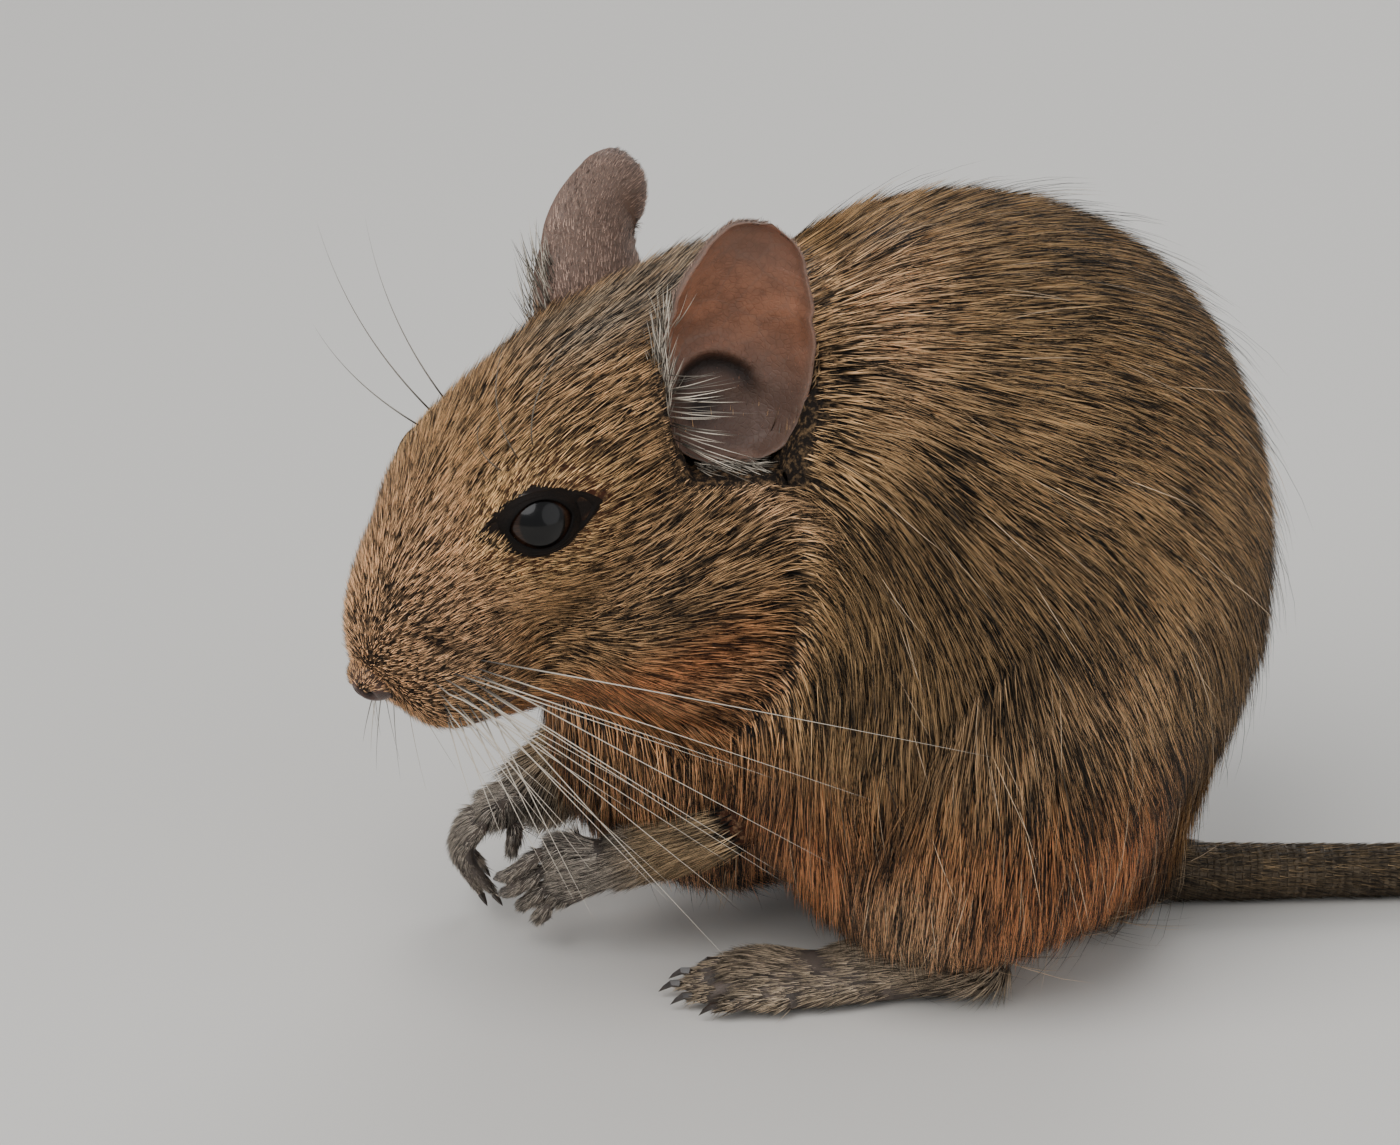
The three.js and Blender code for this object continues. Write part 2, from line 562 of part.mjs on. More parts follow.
// Forelegs, held together under the chin
for (const { side } of SIDES) {
  const arm = ARMS[side];
  const elbow = V(...arm.elbow);
  const wrist = V(...arm.wrist);
  const [first, last] = arm.knuckles.map((p) => V(...p));
  const reach = wrist.clone().sub(elbow).normalize();
  const armField = flesh([limb(arm.elbow, arm.wrist, 4.8, 3.1, 3)]);
  const armLine = [elbow, elbow.clone().lerp(wrist, 0.5), wrist];
  const whole = solid(skinOver(armField, armLine, 12, 14, 12));
  const cuff = shifted(wrist, reach, -1.5);
  const foreleg = whole.subtract(beyond(cuff, reach)).subtract(trunkRoom);
  place("foreleg_" + side, "foreleg_" + side, foreleg, FLANK);

  const palmField = flesh([
    limb(arm.wrist, arm.knuckles[0], 3, 1.7, 2),
    limb(arm.wrist, arm.knuckles[1], 3, 1.7, 2),
    limb(arm.wrist, first.clone().lerp(last, 0.5).toArray(), 3, 2, 2),
  ]);
  const palmLine = [wrist.clone().addScaledVector(reach, -3), wrist, wrist.clone().lerp(first.clone().lerp(last, 0.5), 0.8)];
  let hand = solid(skinOver(palmField, palmLine, 12, 12, 12)).subtract(beyond(shifted(cuff, reach, GAP), reach.clone().negate()));
  arm.tips.forEach((p, i) => {
    const tip = V(...p);
    const root = first.clone().lerp(last, i / 3);
    const line = [root, root.clone().lerp(tip, 0.45).add(V(...arm.bulge)), tip];
    hand = hand.add(digit(line, FINGER, 0.85, 0));
    const down = tip.clone().sub(line[1]).normalize();
    const nail = [shifted(tip, down, -0.4), shifted(tip, down, 0.8), shifted(tip, down, 1.7)];
    const claw = solid(claws(nail, 0.5)).subtract(digit(line, FINGER, 0.85, GAP));
    place("foreleg_" + side, "fore_claw_" + side + "_" + (i + 1), claw, CLAW);
  });
  const [thumbRoot, thumbTip] = arm.thumb.map((p) => V(...p));
  hand = hand.add(digit([thumbRoot, thumbRoot.clone().lerp(thumbTip, 0.5), thumbTip], 1.2, 0.8, 0));
  place("foreleg_" + side, "hand_" + side, hand.subtract(trunkRoom), PAW);
}
place("trunk", "torso", torso.subtract(tailRoom), COAT);

// Tail in three lengths, and the black brush at its end
const tailCurve = new THREE.CatmullRomCurve3(TAIL_LINE, false, "centripetal");
const tail = tailForm(0).subtract(belowFloor);
const cuts = [0.36, 0.7].map((t) => ({ point: tailCurve.getPointAt(t), along: tailCurve.getTangentAt(t) }));
const after = ({ point, along }, by) => beyond(shifted(point, along, by), along);
place("tail", "tail_base", tail.subtract(after(cuts[0], 0)), TUFT_BLACK);
place("tail", "tail_middle", tail.intersect(after(cuts[0], GAP)).subtract(after(cuts[1], 0)), TUFT_BLACK);
const tailEnd = tailCurve.getPointAt(1);
const tailWay = tailCurve.getTangentAt(1);
const brushCut = { point: shifted(tailEnd, tailWay, -4), along: tailWay };
place("tail", "tail_end", tail.intersect(after(cuts[1], GAP)).subtract(after(brushCut, 0)), TUFT_BLACK);
const brushLine = [-6, 0, BRUSH_CORE * 0.5, BRUSH_CORE].map((x) => shifted(tailEnd, tailWay, x).add(V(0, 0, 0.02 * x)));
let brush = solid(tube(brushLine, (t) => mix(TAIL_RADIUS[1] + 0.3, 0.9, t), 8, 9, 0.1));
const sideways = V(-tailWay.y, tailWay.x, 0).normalize();
const draw = series(5);
for (let i = 0; i < BRUSH_LOCKS; i++) {
  const t = i / BRUSH_LOCKS;
  const a = i * 2.4;
  const out = sideways.clone().multiplyScalar(Math.cos(a)).add(V(0, 0, 0.8 * Math.sin(a)));
  const root = shifted(tailEnd, tailWay, mix(-2.6, BRUSH_CORE - 2, t)).addScaledVector(out, 0.7);
  const long = mix(BRUSH_LOCK[0], BRUSH_LOCK[1], draw());
  const spread = mix(0.3, 0.16, t) * mix(0.8, 1.2, draw());
  const line = [0, 0.35, 0.7, 1].map((u) =>
    root
      .clone()
      .addScaledVector(tailWay, long * u)
      .addScaledVector(out, long * spread * (u + 0.25 * u * u)),
  );
  brush = brush.add(solid(tube(line, (u) => 0.75 * (1 - 0.75 * u), 4, 4, 0.15, 0.6)));
}
place("tail", "tail_brush", brush.intersect(after(brushCut, GAP)).subtract(belowFloor), TUFT_BLACK);

// The origin is the middle of the whole animal's bounding box, at the level of its soles.
const box = new THREE.Box3().setFromObject(degu);
const middle = box.getCenter(V(0, 0, 0));
degu.position.set(-middle.x, -middle.y, -box.min.z);

export default degu;
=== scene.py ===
"""A life-size degu: skin, coat, ears, eyes, paws, whiskers and tail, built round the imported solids.

Shapes are worked out in the animal's own millimetres, in which it faces -X with its left side at -Y,
and are moved into the frame when they become meshes.
"""

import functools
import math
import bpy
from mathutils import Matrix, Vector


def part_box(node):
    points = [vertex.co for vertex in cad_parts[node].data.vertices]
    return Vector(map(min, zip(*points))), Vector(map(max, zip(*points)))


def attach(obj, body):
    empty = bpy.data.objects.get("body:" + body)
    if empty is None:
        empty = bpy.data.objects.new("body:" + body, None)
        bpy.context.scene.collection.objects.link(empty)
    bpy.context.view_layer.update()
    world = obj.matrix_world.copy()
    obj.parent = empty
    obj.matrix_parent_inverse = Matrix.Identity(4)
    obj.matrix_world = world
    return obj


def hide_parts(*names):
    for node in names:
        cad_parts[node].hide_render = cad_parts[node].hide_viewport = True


bl_info = {
    "name": "Degu",
    "version": (1, 0, 0),
    "blender": (4, 5, 0),
    "location": "View3D > Sidebar > Degu",
    "description": "Builds a crouching degu with a coat of mesh tufts",
    "category": "Add Mesh",
}

import bpy
import numpy as np
from mathutils import Vector

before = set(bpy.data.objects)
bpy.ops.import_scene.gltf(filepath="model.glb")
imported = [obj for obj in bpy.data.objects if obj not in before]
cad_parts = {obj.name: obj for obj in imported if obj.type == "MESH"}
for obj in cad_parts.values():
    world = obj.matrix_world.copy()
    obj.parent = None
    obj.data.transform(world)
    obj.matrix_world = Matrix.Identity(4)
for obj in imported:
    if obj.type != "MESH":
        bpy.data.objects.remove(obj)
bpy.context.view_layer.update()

# Names of the solids that each group of pieces stands for
FLESH = ("torso", "neck", "head", "jaw", "whisker_pad_left", "whisker_pad_right",
         "thigh_left", "thigh_right", "foreleg_left", "foreleg_right")
TAIL_NODES = ("tail_base", "tail_middle", "tail_end")
SIDES = (("left", 1.0), ("right", -1.0))

# The head's frame and its landmarks: forward, left and up in the head
HEAD_AT = (-12.6, -8.0, 60.3)
HEAD_TURN = (34.0, 20.0, -1.5)
EYE_AT = np.array((23.4, 9.2, 8.6))
EYE_AXIS = np.array((0.22, 0.94, 0.25))
EYE_LONG_WAY = np.array((-0.97, 0.0, -0.25))
NOSE_AT = np.array((42.6, 0.0, -3.0))
NOSE_SIZE = np.array((2.9, 3.0, 2.75))
PAD_AT = (35.6, 5.0, -5.4)
EAR_OPEN = np.array((0.34, 0.89, 0.12))
EAR_HALF = (4.7, 6.8, 7.6, 7.8, 7.2, 5.8, 3.7)
EAR_DEEP = (3.0, 5.0, 5.6, 5.0, 3.8, 2.6, 1.4)
EAR_BEND = 1.4
EAR_LINES = {
    "left": ((1, 12, 2.5), (-1.3, 12.6, 9), (-4.2, 13, 16), (-7.7, 13.6, 22.2), (-11.2, 14, 25.4)),
    "right": ((2.4, 12, 2.5), (0.7, 12.8, 9), (-1.2, 13.6, 15.6), (-4.2, 14.4, 20.4), (-7.9, 14.8, 22.8),
              (-12.6, 14.8, 23.2)),
}
ARMS = {
    "left": {
        "elbow": (-6, -14, 20), "wrist": (-19.5, -12.6, 12.8),
        "knuckles": ((-28, -12.4, 14), (-27.2, -11, 7.4)),
        "tips": ((-33.4, -8.4, 8.6), (-33, -7.4, 6.2), (-31, -7.2, 4.6), (-28, -7.6, 3.6)),
        "thumb": ((-24, -9.6, 13.6), (-27.4, -7.6, 13)), "bulge": (-1.2, -1.4, -0.6),
    },
    "right": {
        "elbow": (-15, 10, 22), "wrist": (-30.2, 4.6, 13),
        "knuckles": ((-34.8, -2, 12.6), (-35.6, 4.2, 11.8)),
        "tips": ((-34, -4.4, 4.6), (-35.6, -2.2, 3.6), (-36.4, 0.6, 3.4), (-35.6, 3.2, 4.4)),
        "thumb": ((-31.6, -0.6, 11.6), (-32, -3.4, 9.4)), "bulge": (-2.6, -0.2, 0),
    },
}
HEEL = (19.5, 20.0, 3.8)
TOES = (5.6, 8.2, 9.0, 8.4, 6.0)
TAIL_LONG = 112
TAIL_LINE = ((33, 3, 6.2), (42, 3.6, 3.8), (60, 4.2, 3.3), (82, 6, 3), (103, 11, 2.7),
             (119, 18.5, 2.4), (131, 27, 2.2))

# A millimetre in metres and a metre in millimetres
MM = 0.001
METRE = 1000

# The lowest point of any form above the floor, the camera's aim, and a full turn on an unwrap
LOWEST = 0.05
AIM = (-11.0, 0.0, 41.8)
FULL_TURN = 6.2832

# Numbers of tufts on the small pieces
TUFTS = {"fan": 34, "front": 260, "notch": 60, "ear": 24000, "ear_root": 1900, "nose": 5200, "hand": 9500,
         "forearm": 11000, "foot": 12000, "tail": 17000, "brush": 3600}
WHISKERS = 26

# How the tufts of head and trunk gather, and how dark their tips are
COAT_STYLES = ({"clump": 0.1, "cell": 1.2, "tip_dark": 0.65, "patchy": 0.1},
               {"clump": 0.3, "cell": 1.5, "tip_dark": 0.9, "patchy": 0.24})


# Small mathematics on whole arrays

def unit(v):
    """Vectors divided by their lengths."""
    return v / np.maximum(np.linalg.norm(v, axis=-1, keepdims=True), 1e-9)


def mix(a, b, t):
    """The value a share t of the way from a to b."""
    return a + (b - a) * t


def ease(lo, hi, x):
    """Smooth step: 0 below lo, 1 above hi, 3t^2 - 2t^3 between."""
    t = np.clip((np.asarray(x, float) - lo) / (hi - lo), 0, 1)
    return t * t * (3 - 2 * t)


def bell(*off):
    """Gaussian bell: e to the power of minus the sum of squares."""
    return np.exp(-sum(u ** 2 for u in off))


def norm(v):
    """Lengths of vectors."""
    return np.linalg.norm(v, axis=-1)


def turned(v, axis, degrees):
    """v turned round a unit axis: v cos a + (axis x v) sin a + axis (axis . v)(1 - cos a)."""
    a = math.radians(degrees)
    return v * math.cos(a) + np.cross(axis, v) * math.sin(a) + axis * (v @ axis) * (1 - math.cos(a))


def head_frame():
    """A 4 x 4 matrix whose columns are forward, left, crown and the middle of the head."""
    yaw, pitch = (math.radians(a) for a in HEAD_TURN[:2])
    forward = np.array((-math.cos(yaw) * math.cos(pitch), -math.sin(yaw) * math.cos(pitch), -math.sin(pitch)))
    left = turned(np.array((math.sin(yaw), -math.cos(yaw), 0.0)), forward, -HEAD_TURN[2])
    made = np.eye(4)
    made[:3, 0], made[:3, 1], made[:3, 2], made[:3, 3] = forward, left, np.cross(forward, left), HEAD_AT
    return made


HEAD = head_frame()
BODY = np.eye(4)


def in_head(points):
    """Points given in the head's frame, as points of the animal."""
    return np.asarray(points, float) @ HEAD[:3, :3].T + HEAD[:3, 3]


def with_head(directions):
    """Directions given in the head's frame, as directions of the animal."""
    return np.asarray(directions, float) @ HEAD[:3, :3].T


def head_view(points):
    """Points of the animal, as seen in the head's frame."""
    return (points - HEAD[:3, 3]) @ HEAD[:3, :3]


def on_side(p, s):
    """A place given on the left, on the left for s = 1 and mirrored for s = -1."""
    return np.asarray(p, float) * (1, s, 1)


def spline(points, count):
    """A centripetal Catmull-Rom curve through points, read at equal steps of its length: cubic pieces
    x1 + t1 u + (3(x2 - x1) - 2 t1 - t2) u^2 + (2(x1 - x2) + t1 + t2) u^3 whose end slopes t1, t2 come
    from neighbouring points spaced by the square root of their distance."""
    p = np.asarray(points, float)
    p = np.vstack((2 * p[0] - p[1], p, 2 * p[-1] - p[-2]))
    x0, x1, x2, x3 = p[:-3], p[1:-2], p[2:-1], p[3:]
    gap = np.sqrt(norm(np.diff(p, axis=0)))[:, None]
    d0, d1, d2 = gap[:-2], gap[1:-1], gap[2:]
    t1 = ((x1 - x0) / d0 - (x2 - x0) / (d0 + d1) + (x2 - x1) / d1) * d1
    t2 = ((x2 - x1) / d1 - (x3 - x1) / (d1 + d2) + (x3 - x2) / d2) * d1
    u = np.linspace(0, 1, 60)[None, :, None]
    x1, x2, t1, t2 = (a[:, None, :] for a in (x1, x2, t1, t2))
    dense = x1 + t1 * u + (3 * (x2 - x1) - 2 * t1 - t2) * u ** 2 + (2 * (x1 - x2) + t1 + t2) * u ** 3
    dense = dense.reshape(-1, 3)
    run = np.concatenate(((0,), np.cumsum(norm(np.diff(dense, axis=0)))))
    at = np.linspace(0, run[-1], count)
    return np.stack([np.interp(at, run, dense[:, k]) for k in range(3)], axis=1)


def slopes(line):
    """Unit tangents of a line of points."""
    return unit(np.gradient(line, axis=0))


def laid(way, normals):
    """Unit directions that follow way along the surface with these normals."""
    return unit(way - normals * (way * normals).sum(axis=-1, keepdims=True))


def turns(n):
    """n equal steps of a full turn."""
    return 2 * np.pi * np.arange(n) / n


def side_and_top(along, up=(0, 0, 1)):
    """Two directions square to a line's own."""
    side = unit(np.cross(np.asarray(up, float), along))
    return side, np.cross(along, side)


def off_line(along, a):
    """Directions square to a line's own, at the angles a round it."""
    side, top = side_and_top(along)
    return np.cos(a)[:, None] * side + np.sin(a)[:, None] * top


def spokes(along, sides, up=(0, 0, 1)):
    """At each step of a line, directions square to its own in equal steps of a turn."""
    side, top = side_and_top(along, up)
    a = turns(sides)
    return np.cos(a)[None, :, None] * side[:, None] + np.sin(a)[None, :, None] * top[:, None]


def kept_up(points, least=LOWEST):
    """Raises what lies under the least height above the floor."""
    points[..., 2] = np.maximum(points[..., 2], least)


def with_ends(values, first=0.0, last=0.0):
    """Values of rows of points, between those of a closed form's first and last point."""
    return np.concatenate(((first,), np.ravel(values), (last,)))


def on_own_side(place, q):
    """A place given on the left, mirrored for each point that lies on the right."""
    return np.stack(np.broadcast_arrays(place[0], np.sign(q[..., 1]) * place[1], place[2]), axis=-1)


def halved(field, starts, rays, near, far, rounds):
    """How far along each ray the field turns positive, between near and far, found by halving."""
    for _ in range(rounds):
        r = (near + far) / 2
        outside = field(starts + rays * r[..., None]) > 0
        far, near = np.where(outside, r, far), np.where(outside, near, r)
    return far


def up_ear(t, values):
    """A measure of the ear that is given at even steps of its height, at a share t of it."""
    return np.interp(t, np.linspace(0, 1, len(values)), values)


# Flesh: rounded masses that flow together

def ellipsoid(place, at, radii, soft=4.0, pitch=0.0, yaw=0.0):
    """Distance to an ellipsoid, k0 (k0 - 1) / k1 with k0 = |q / r| and k1 = |q / r^2|, and its softness."""
    p, y = math.radians(pitch), math.radians(yaw)
    about_y = np.array(((math.cos(p), 0, math.sin(p)), (0, 1, 0), (-math.sin(p), 0, math.cos(p))))
    about_z = np.array(((math.cos(y), -math.sin(y), 0), (math.sin(y), math.cos(y), 0), (0, 0, 1)))
    axes = place[:3, :3] @ about_z @ about_y
    middle = place[:3, :3] @ np.asarray(at, float) + place[:3, 3]
    r = np.asarray(radii, float)

    def distance(points):
        q = (points - middle) @ axes
        k0 = norm(q / r)
        k1 = np.maximum(norm(q / r ** 2), 1e-9)
        return k0 * (k0 - 1) / k1

    return distance, soft


def limb(a, b, ra, rb, soft=3.0):
    """Distance to a limb that tapers from radius ra at a to rb at b, round in section."""
    a, span = np.asarray(a, float), np.asarray(b, float) - np.asarray(a, float)

    def distance(points):
        h = np.clip((points - a) @ span / (span @ span), 0, 1)
        return norm(points - a - h[..., None] * span) - mix(ra, rb, h)

    return distance, soft


def pair(place, at, radii, soft, pitch=0.0, yaw=0.0):
    """Both sides of a mass that is given on the left."""
    return [ellipsoid(place, on_side(at, s), radii, soft, pitch, yaw * s) for _, s in SIDES]


def smooth_least(d, e, soft):
    """Polynomial smooth minimum: min(d, e) - h^2 soft / 4 with h = max(soft - |d - e|, 0) / soft."""
    h = np.maximum(soft - np.abs(d - e), 0) / soft
    return np.minimum(d, e) - h * h * soft / 4


def flesh(masses):
    """The masses flowed together, each by its own softness."""
    def field(points):
        d = masses[0][0](points)
        for distance, soft in masses[1:]:
            d = smooth_least(d, distance(points), soft)
        return d
    return field


HEAD_FLESH = flesh([
    ellipsoid(HEAD, (-4, 0, 6.5), (15, 15, 14), 6),
    *pair(HEAD, (3, 8.5, 11), (7, 5.5, 7), 6),
    ellipsoid(HEAD, (14, 0, 8.5), (17, 12.5, 12.5), 7, 16),
    ellipsoid(HEAD, (27.5, 0, 3.5), (15.4, 9.5, 11), 6, 20),
    ellipsoid(HEAD, (35.8, 0, -2), (8.2, 6.8, 7.2), 5),
    ellipsoid(HEAD, (20, 0, -10.5), (19, 8, 7.5), 6, -6),
    *pair(HEAD, (8, 9, -9), (16, 9.5, 13.5), 7),
    *pair(HEAD, PAD_AT, (7, 4.6, 5.6), 3),
    *pair(HEAD, (21.5, 7.2, 7), (10, 5.6, 8), 5, 15),
])
TRUNK_FLESH = flesh([
    ellipsoid(BODY, (20.5, 0, 44.5), (31.5, 32, 40), 10),
    ellipsoid(BODY, (8, 0, 58), (20, 19, 24), 10),
    ellipsoid(BODY, (-8, 0, 29), (21, 19, 24), 10),
    ellipsoid(BODY, (32, 0, 13.5), (12, 13, 14), 8),
    *pair(BODY, (17, 20, 26), (21, 14, 21), 8, -12),
    ellipsoid(BODY, (0, -2, 56), (17, 15, 19), 8),
])


def body_flesh(points):
    """Head and trunk, flowed together where the neck folds: tightly at the crown, widely at the cheek."""
    soft = mix(12.0, 5.0, ease(0, 11, head_view(points)[..., 2]))
    return smooth_least(HEAD_FLESH(points), TRUNK_FLESH(points), soft)


def headness(points):
    """1 on the head and 0 on the trunk, by which of the two is nearer."""
    return ease(-4.5, 4.5, TRUNK_FLESH(points) - HEAD_FLESH(points))


def thigh_fold(points):
    """1 in the fold that runs down before each thigh."""
    x, y, z = points[..., 0], points[..., 1], points[..., 2]
    line = 9.5 + 0.34 * (z - 28) + 0.012 * (z - 28) ** 2
    return bell((x - line) / 2.6) * ease(22, 30, z) * ease(56, 44, z) * ease(12, 20, np.abs(y))


def pad_crease(points):
    """1 in the crease above each whisker pad, which runs down and back from beside the nose."""
    q = head_view(points)
    a, up = q[..., 0], q[..., 2]
    off = (up - 2.0 - 1.15 * (a - 39.5)) / 1.5
    broken = 0.75 + 0.35 * wave(points, 12, 1.5)
    ends = ease(33.5, 35.5, a) * ease(40.2, 38.4, a)
    return broken * bell(off / 0.8) * ends * ease(3, 5, np.abs(q[..., 1]))


def coat_depth(points):
    """How far the skin lies below the coat's outer form: thin on the muzzle, deepest on the trunk and in
    the folds."""
    q = head_view(points)
    face = mix(1.5, 0.5, ease(2, 36, q[..., 0])) + 0.5 * pad_crease(points)
    return mix(1.8 + 1.5 * thigh_fold(points), face, headness(points))


def carved(field, points):
    """The field of some flesh at the coat's depth, giving way to the ears' hollows."""
    return -smooth_least(-(field(points) + coat_depth(points)), ear_room(points), 1.0)


def skin_field(points):
    """Zero on the skin of head and trunk together."""
    return carved(body_flesh, points)


def uphill(field, points, step=0.15):
    """The field's gradient by central differences."""
    parts = [(field(points + step * axis) - field(points - step * axis)) / (2 * step) for axis in np.eye(3)]
    return np.stack(parts, axis=-1)


def settled(field, points, rounds=3):
    """Points moved on to the surface where the field is zero, by Newton steps d g / |g|^2."""
    for _ in range(rounds):
        g = uphill(field, points)
        points = points - (field(points) / np.maximum((g * g).sum(-1), 1e-6))[..., None] * g
    return points


# Grids

def drawn_over(field, line, rings, sides, reach=60.0, up=(0, 0, 1)):
    """A closed grid drawn tight over a field. Ray (i, j) leaves the centre line at t = (1 - cos w) / 2 for
    w = pi i / rings, leans back along the line by -cos w and out by sin w at angle 2 pi j / sides, and
    stops where the field turns positive, found by steps and then by halving. Returns first, rows, last."""
    w = np.pi * np.arange(rings + 1) / rings
    dense = spline(line, 400)
    at = (1 - np.cos(w)) / 2 * 399
    pick = np.stack([np.interp(at, np.arange(400), dense[:, k]) for k in range(3)], axis=1)
    along_all = slopes(dense)
    along = unit(np.stack([np.interp(at, np.arange(400), along_all[:, k]) for k in range(3)], axis=1))
    rays = -np.cos(w)[:, None, None] * along[:, None] + np.sin(w)[:, None, None] * spokes(along, sides, up)
    starts = np.broadcast_to(pick[:, None], rays.shape)
    near = np.zeros(rays.shape[:2])
    far = np.full(rays.shape[:2], reach)
    open_yet = np.ones(rays.shape[:2], bool)
    for step in np.linspace(0, reach, 46)[1:]:
        outside = field(starts + rays * step) > 0
        far = np.where(open_yet & outside, step, far)
        near = np.where(open_yet & ~outside, step, near)
        open_yet &= ~outside
    found = starts + rays * halved(field, starts, rays, near, far, 14)[..., None]
    return found[0, 0], found[1:-1], found[-1, 0]


def tube(line, radius, rings, sides, ends=0.1):
    """A closed tube with round ends: ring i lies at a share t of the line, with radius(t) times
    sqrt(1 - (1 - c)^2) where c rises from 0 to 1 over the share called ends."""
    at = spline(line, rings + 1)
    t = np.linspace(0, 1, rings + 1)
    cap = np.clip(np.minimum(t, 1 - t) / ends, 0, 1)
    r = radius(t) * np.sqrt(np.maximum(1 - (1 - cap) ** 2, 0))
    rows = at[:, None] + r[:, None, None] * spokes(slopes(at), sides)
    return at[0], rows[1:-1], at[-1]


def closed(first, rows, last):
    """Vertices and faces of rows of points that close at a first and a last point, with each
    vertex's place (share round, share along) for an unwrap."""
    n, sides = rows.shape[:2]
    verts = np.vstack((first[None], rows.reshape(-1, 3), last[None]))
    at = 1 + np.arange(n)[:, None] * sides + np.arange(sides)[None]
    nxt = np.roll(at, -1, axis=1)
    quads = np.stack((at[:-1], nxt[:-1], nxt[1:], at[1:]), axis=-1).reshape(-1, 4)
    start = np.stack((np.zeros(sides, int), nxt[0], at[0]), axis=-1)
    end = np.stack((at[-1], nxt[-1], np.full(sides, len(verts) - 1)), axis=-1)
    round_, along = np.meshgrid(np.arange(sides) / sides, (np.arange(n) + 1) / (n + 1))
    place = np.vstack(((0.5, 0), np.stack((round_, along), axis=-1).reshape(-1, 2), (0.5, 1)))
    tris = np.vstack((start, end))
    if volume_of(verts, quads, tris) < 0:
        quads, tris = quads[:, ::-1], tris[:, ::-1]
    return verts, quads, tris, place


def all_triangles(quads, tris):
    """The triangles, and both halves of each quad."""
    return np.vstack((tris, quads[:, :3], quads[:, (0, 2, 3)]))


def volume_of(verts, quads, tris):
    """Signed volume: a sixth of the sum of a . (b x c) over the triangles."""
    t = all_triangles(quads, tris)
    a, b, c = verts[t[:, 0]], verts[t[:, 1]], verts[t[:, 2]]
    return (a * np.cross(b, c)).sum() / 6


def joined(parts):
    """Several closed forms as one list of vertices and faces."""
    verts, quads, tris, place, start = [], [], [], [], 0
    for v, q, t, p in parts:
        verts.append(v)
        quads.append(q + start)
        tris.append(t + start)
        place.append(p)
        start += len(v)
    return np.vstack(verts), np.vstack(quads), np.vstack(tris), np.vstack(place)


# Meshes

def frame_shift():
    """Where the animal's own origin lies in the frame, found from the eyes, which are whole in the solids."""
    found = []
    for side, s in SIDES:
        low, high = (np.array(c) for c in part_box("eye_" + side))
        found.append((low + high) / 2 * METRE - in_head(on_side(EYE_AT, s)))
    shift = np.mean(found, axis=0)
    shift[2] = 0.0
    return shift


SHIFT = frame_shift()


def made_mesh(name, verts, quads=None, tris=None, attributes=None, corner_uv=None):
    """A mesh object from arrays in the animal's millimetres. attributes maps a name to values per vertex:
    one number each, or a colour of three."""
    mesh = bpy.data.meshes.new(name)
    verts = (np.asarray(verts) + SHIFT) * MM
    quads = np.empty((0, 4), int) if quads is None else quads
    tris = np.empty((0, 3), int) if tris is None else tris
    loops = np.concatenate((quads.ravel(), tris.ravel())).astype(np.int32)
    starts = np.concatenate((np.arange(len(quads)) * 4,
                             len(quads) * 4 + np.arange(len(tris)) * 3)).astype(np.int32)
    mesh.vertices.add(len(verts))
    mesh.vertices.foreach_set("co", verts.astype(np.float32).ravel())
    mesh.loops.add(len(loops))
    mesh.loops.foreach_set("vertex_index", loops)
    mesh.polygons.add(len(starts))
    mesh.polygons.foreach_set("loop_start", starts)
    mesh.polygons.foreach_set("use_smooth", np.ones(len(starts), bool))
    mesh.update(calc_edges=True)
    if corner_uv is not None:
        mesh.uv_layers.new(name="OFBake").data.foreach_set("uv", corner_uv.astype(np.float32).ravel())
    for key, values in (attributes or {}).items():
        values = np.asarray(values, np.float32)
        if values.ndim == 1:
            mesh.attributes.new(key, "FLOAT", "POINT").data.foreach_set("value", values)
        else:
            full = np.concatenate((values, np.ones((len(values), 1), np.float32)), axis=1)
            mesh.attributes.new(key, "FLOAT_COLOR", "POINT").data.foreach_set("color", full.ravel())
    made = bpy.data.objects.new(name, mesh)
    bpy.context.scene.collection.objects.link(made)
    return made


def placed(piece, material, slot, nodes=()):
    """Gives a piece its material and its body, and hides the solids that it stands for. The slot is not used.
    """
    piece.data.materials.append(material)
    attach(piece, "root")
    if nodes:
        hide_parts(*nodes)


def corner_places(place, faces):
    """The unwrap at each corner of faces. Those that cross the join of the first and last share are
    mended by adding one turn to the small shares."""
    uv = place[faces]
    wide = np.ptp(uv[..., 0], axis=1) > 0.5
    uv[..., 0] += wide[:, None] & (uv[..., 0] < 0.5)
    return uv


# Markings, with painted shade in folds and painted warm light from the floor, the same on skin and coat

def linear(colour):
    """A colour as seen on screen, as linear light: ((c + 0.055) / 1.055)^2.4 above 0.04045."""
    c = np.asarray(colour, float)
    return np.where(c > 0.04045, ((c + 0.055) / 1.055) ** 2.4, c / 12.92)


def wave(points, seed, scale):
    """A smooth random field from -1 to 1: the mean of seven sine waves in fixed random directions."""
    draw = np.random.default_rng(seed)
    total = 0.0
    for _ in range(7):
        way = unit(draw.normal(size=3)) * draw.uniform(0.6, 1.6) / scale
        total = total + np.sin(points @ way + draw.uniform(0, 6.28))
    return total / 3.2


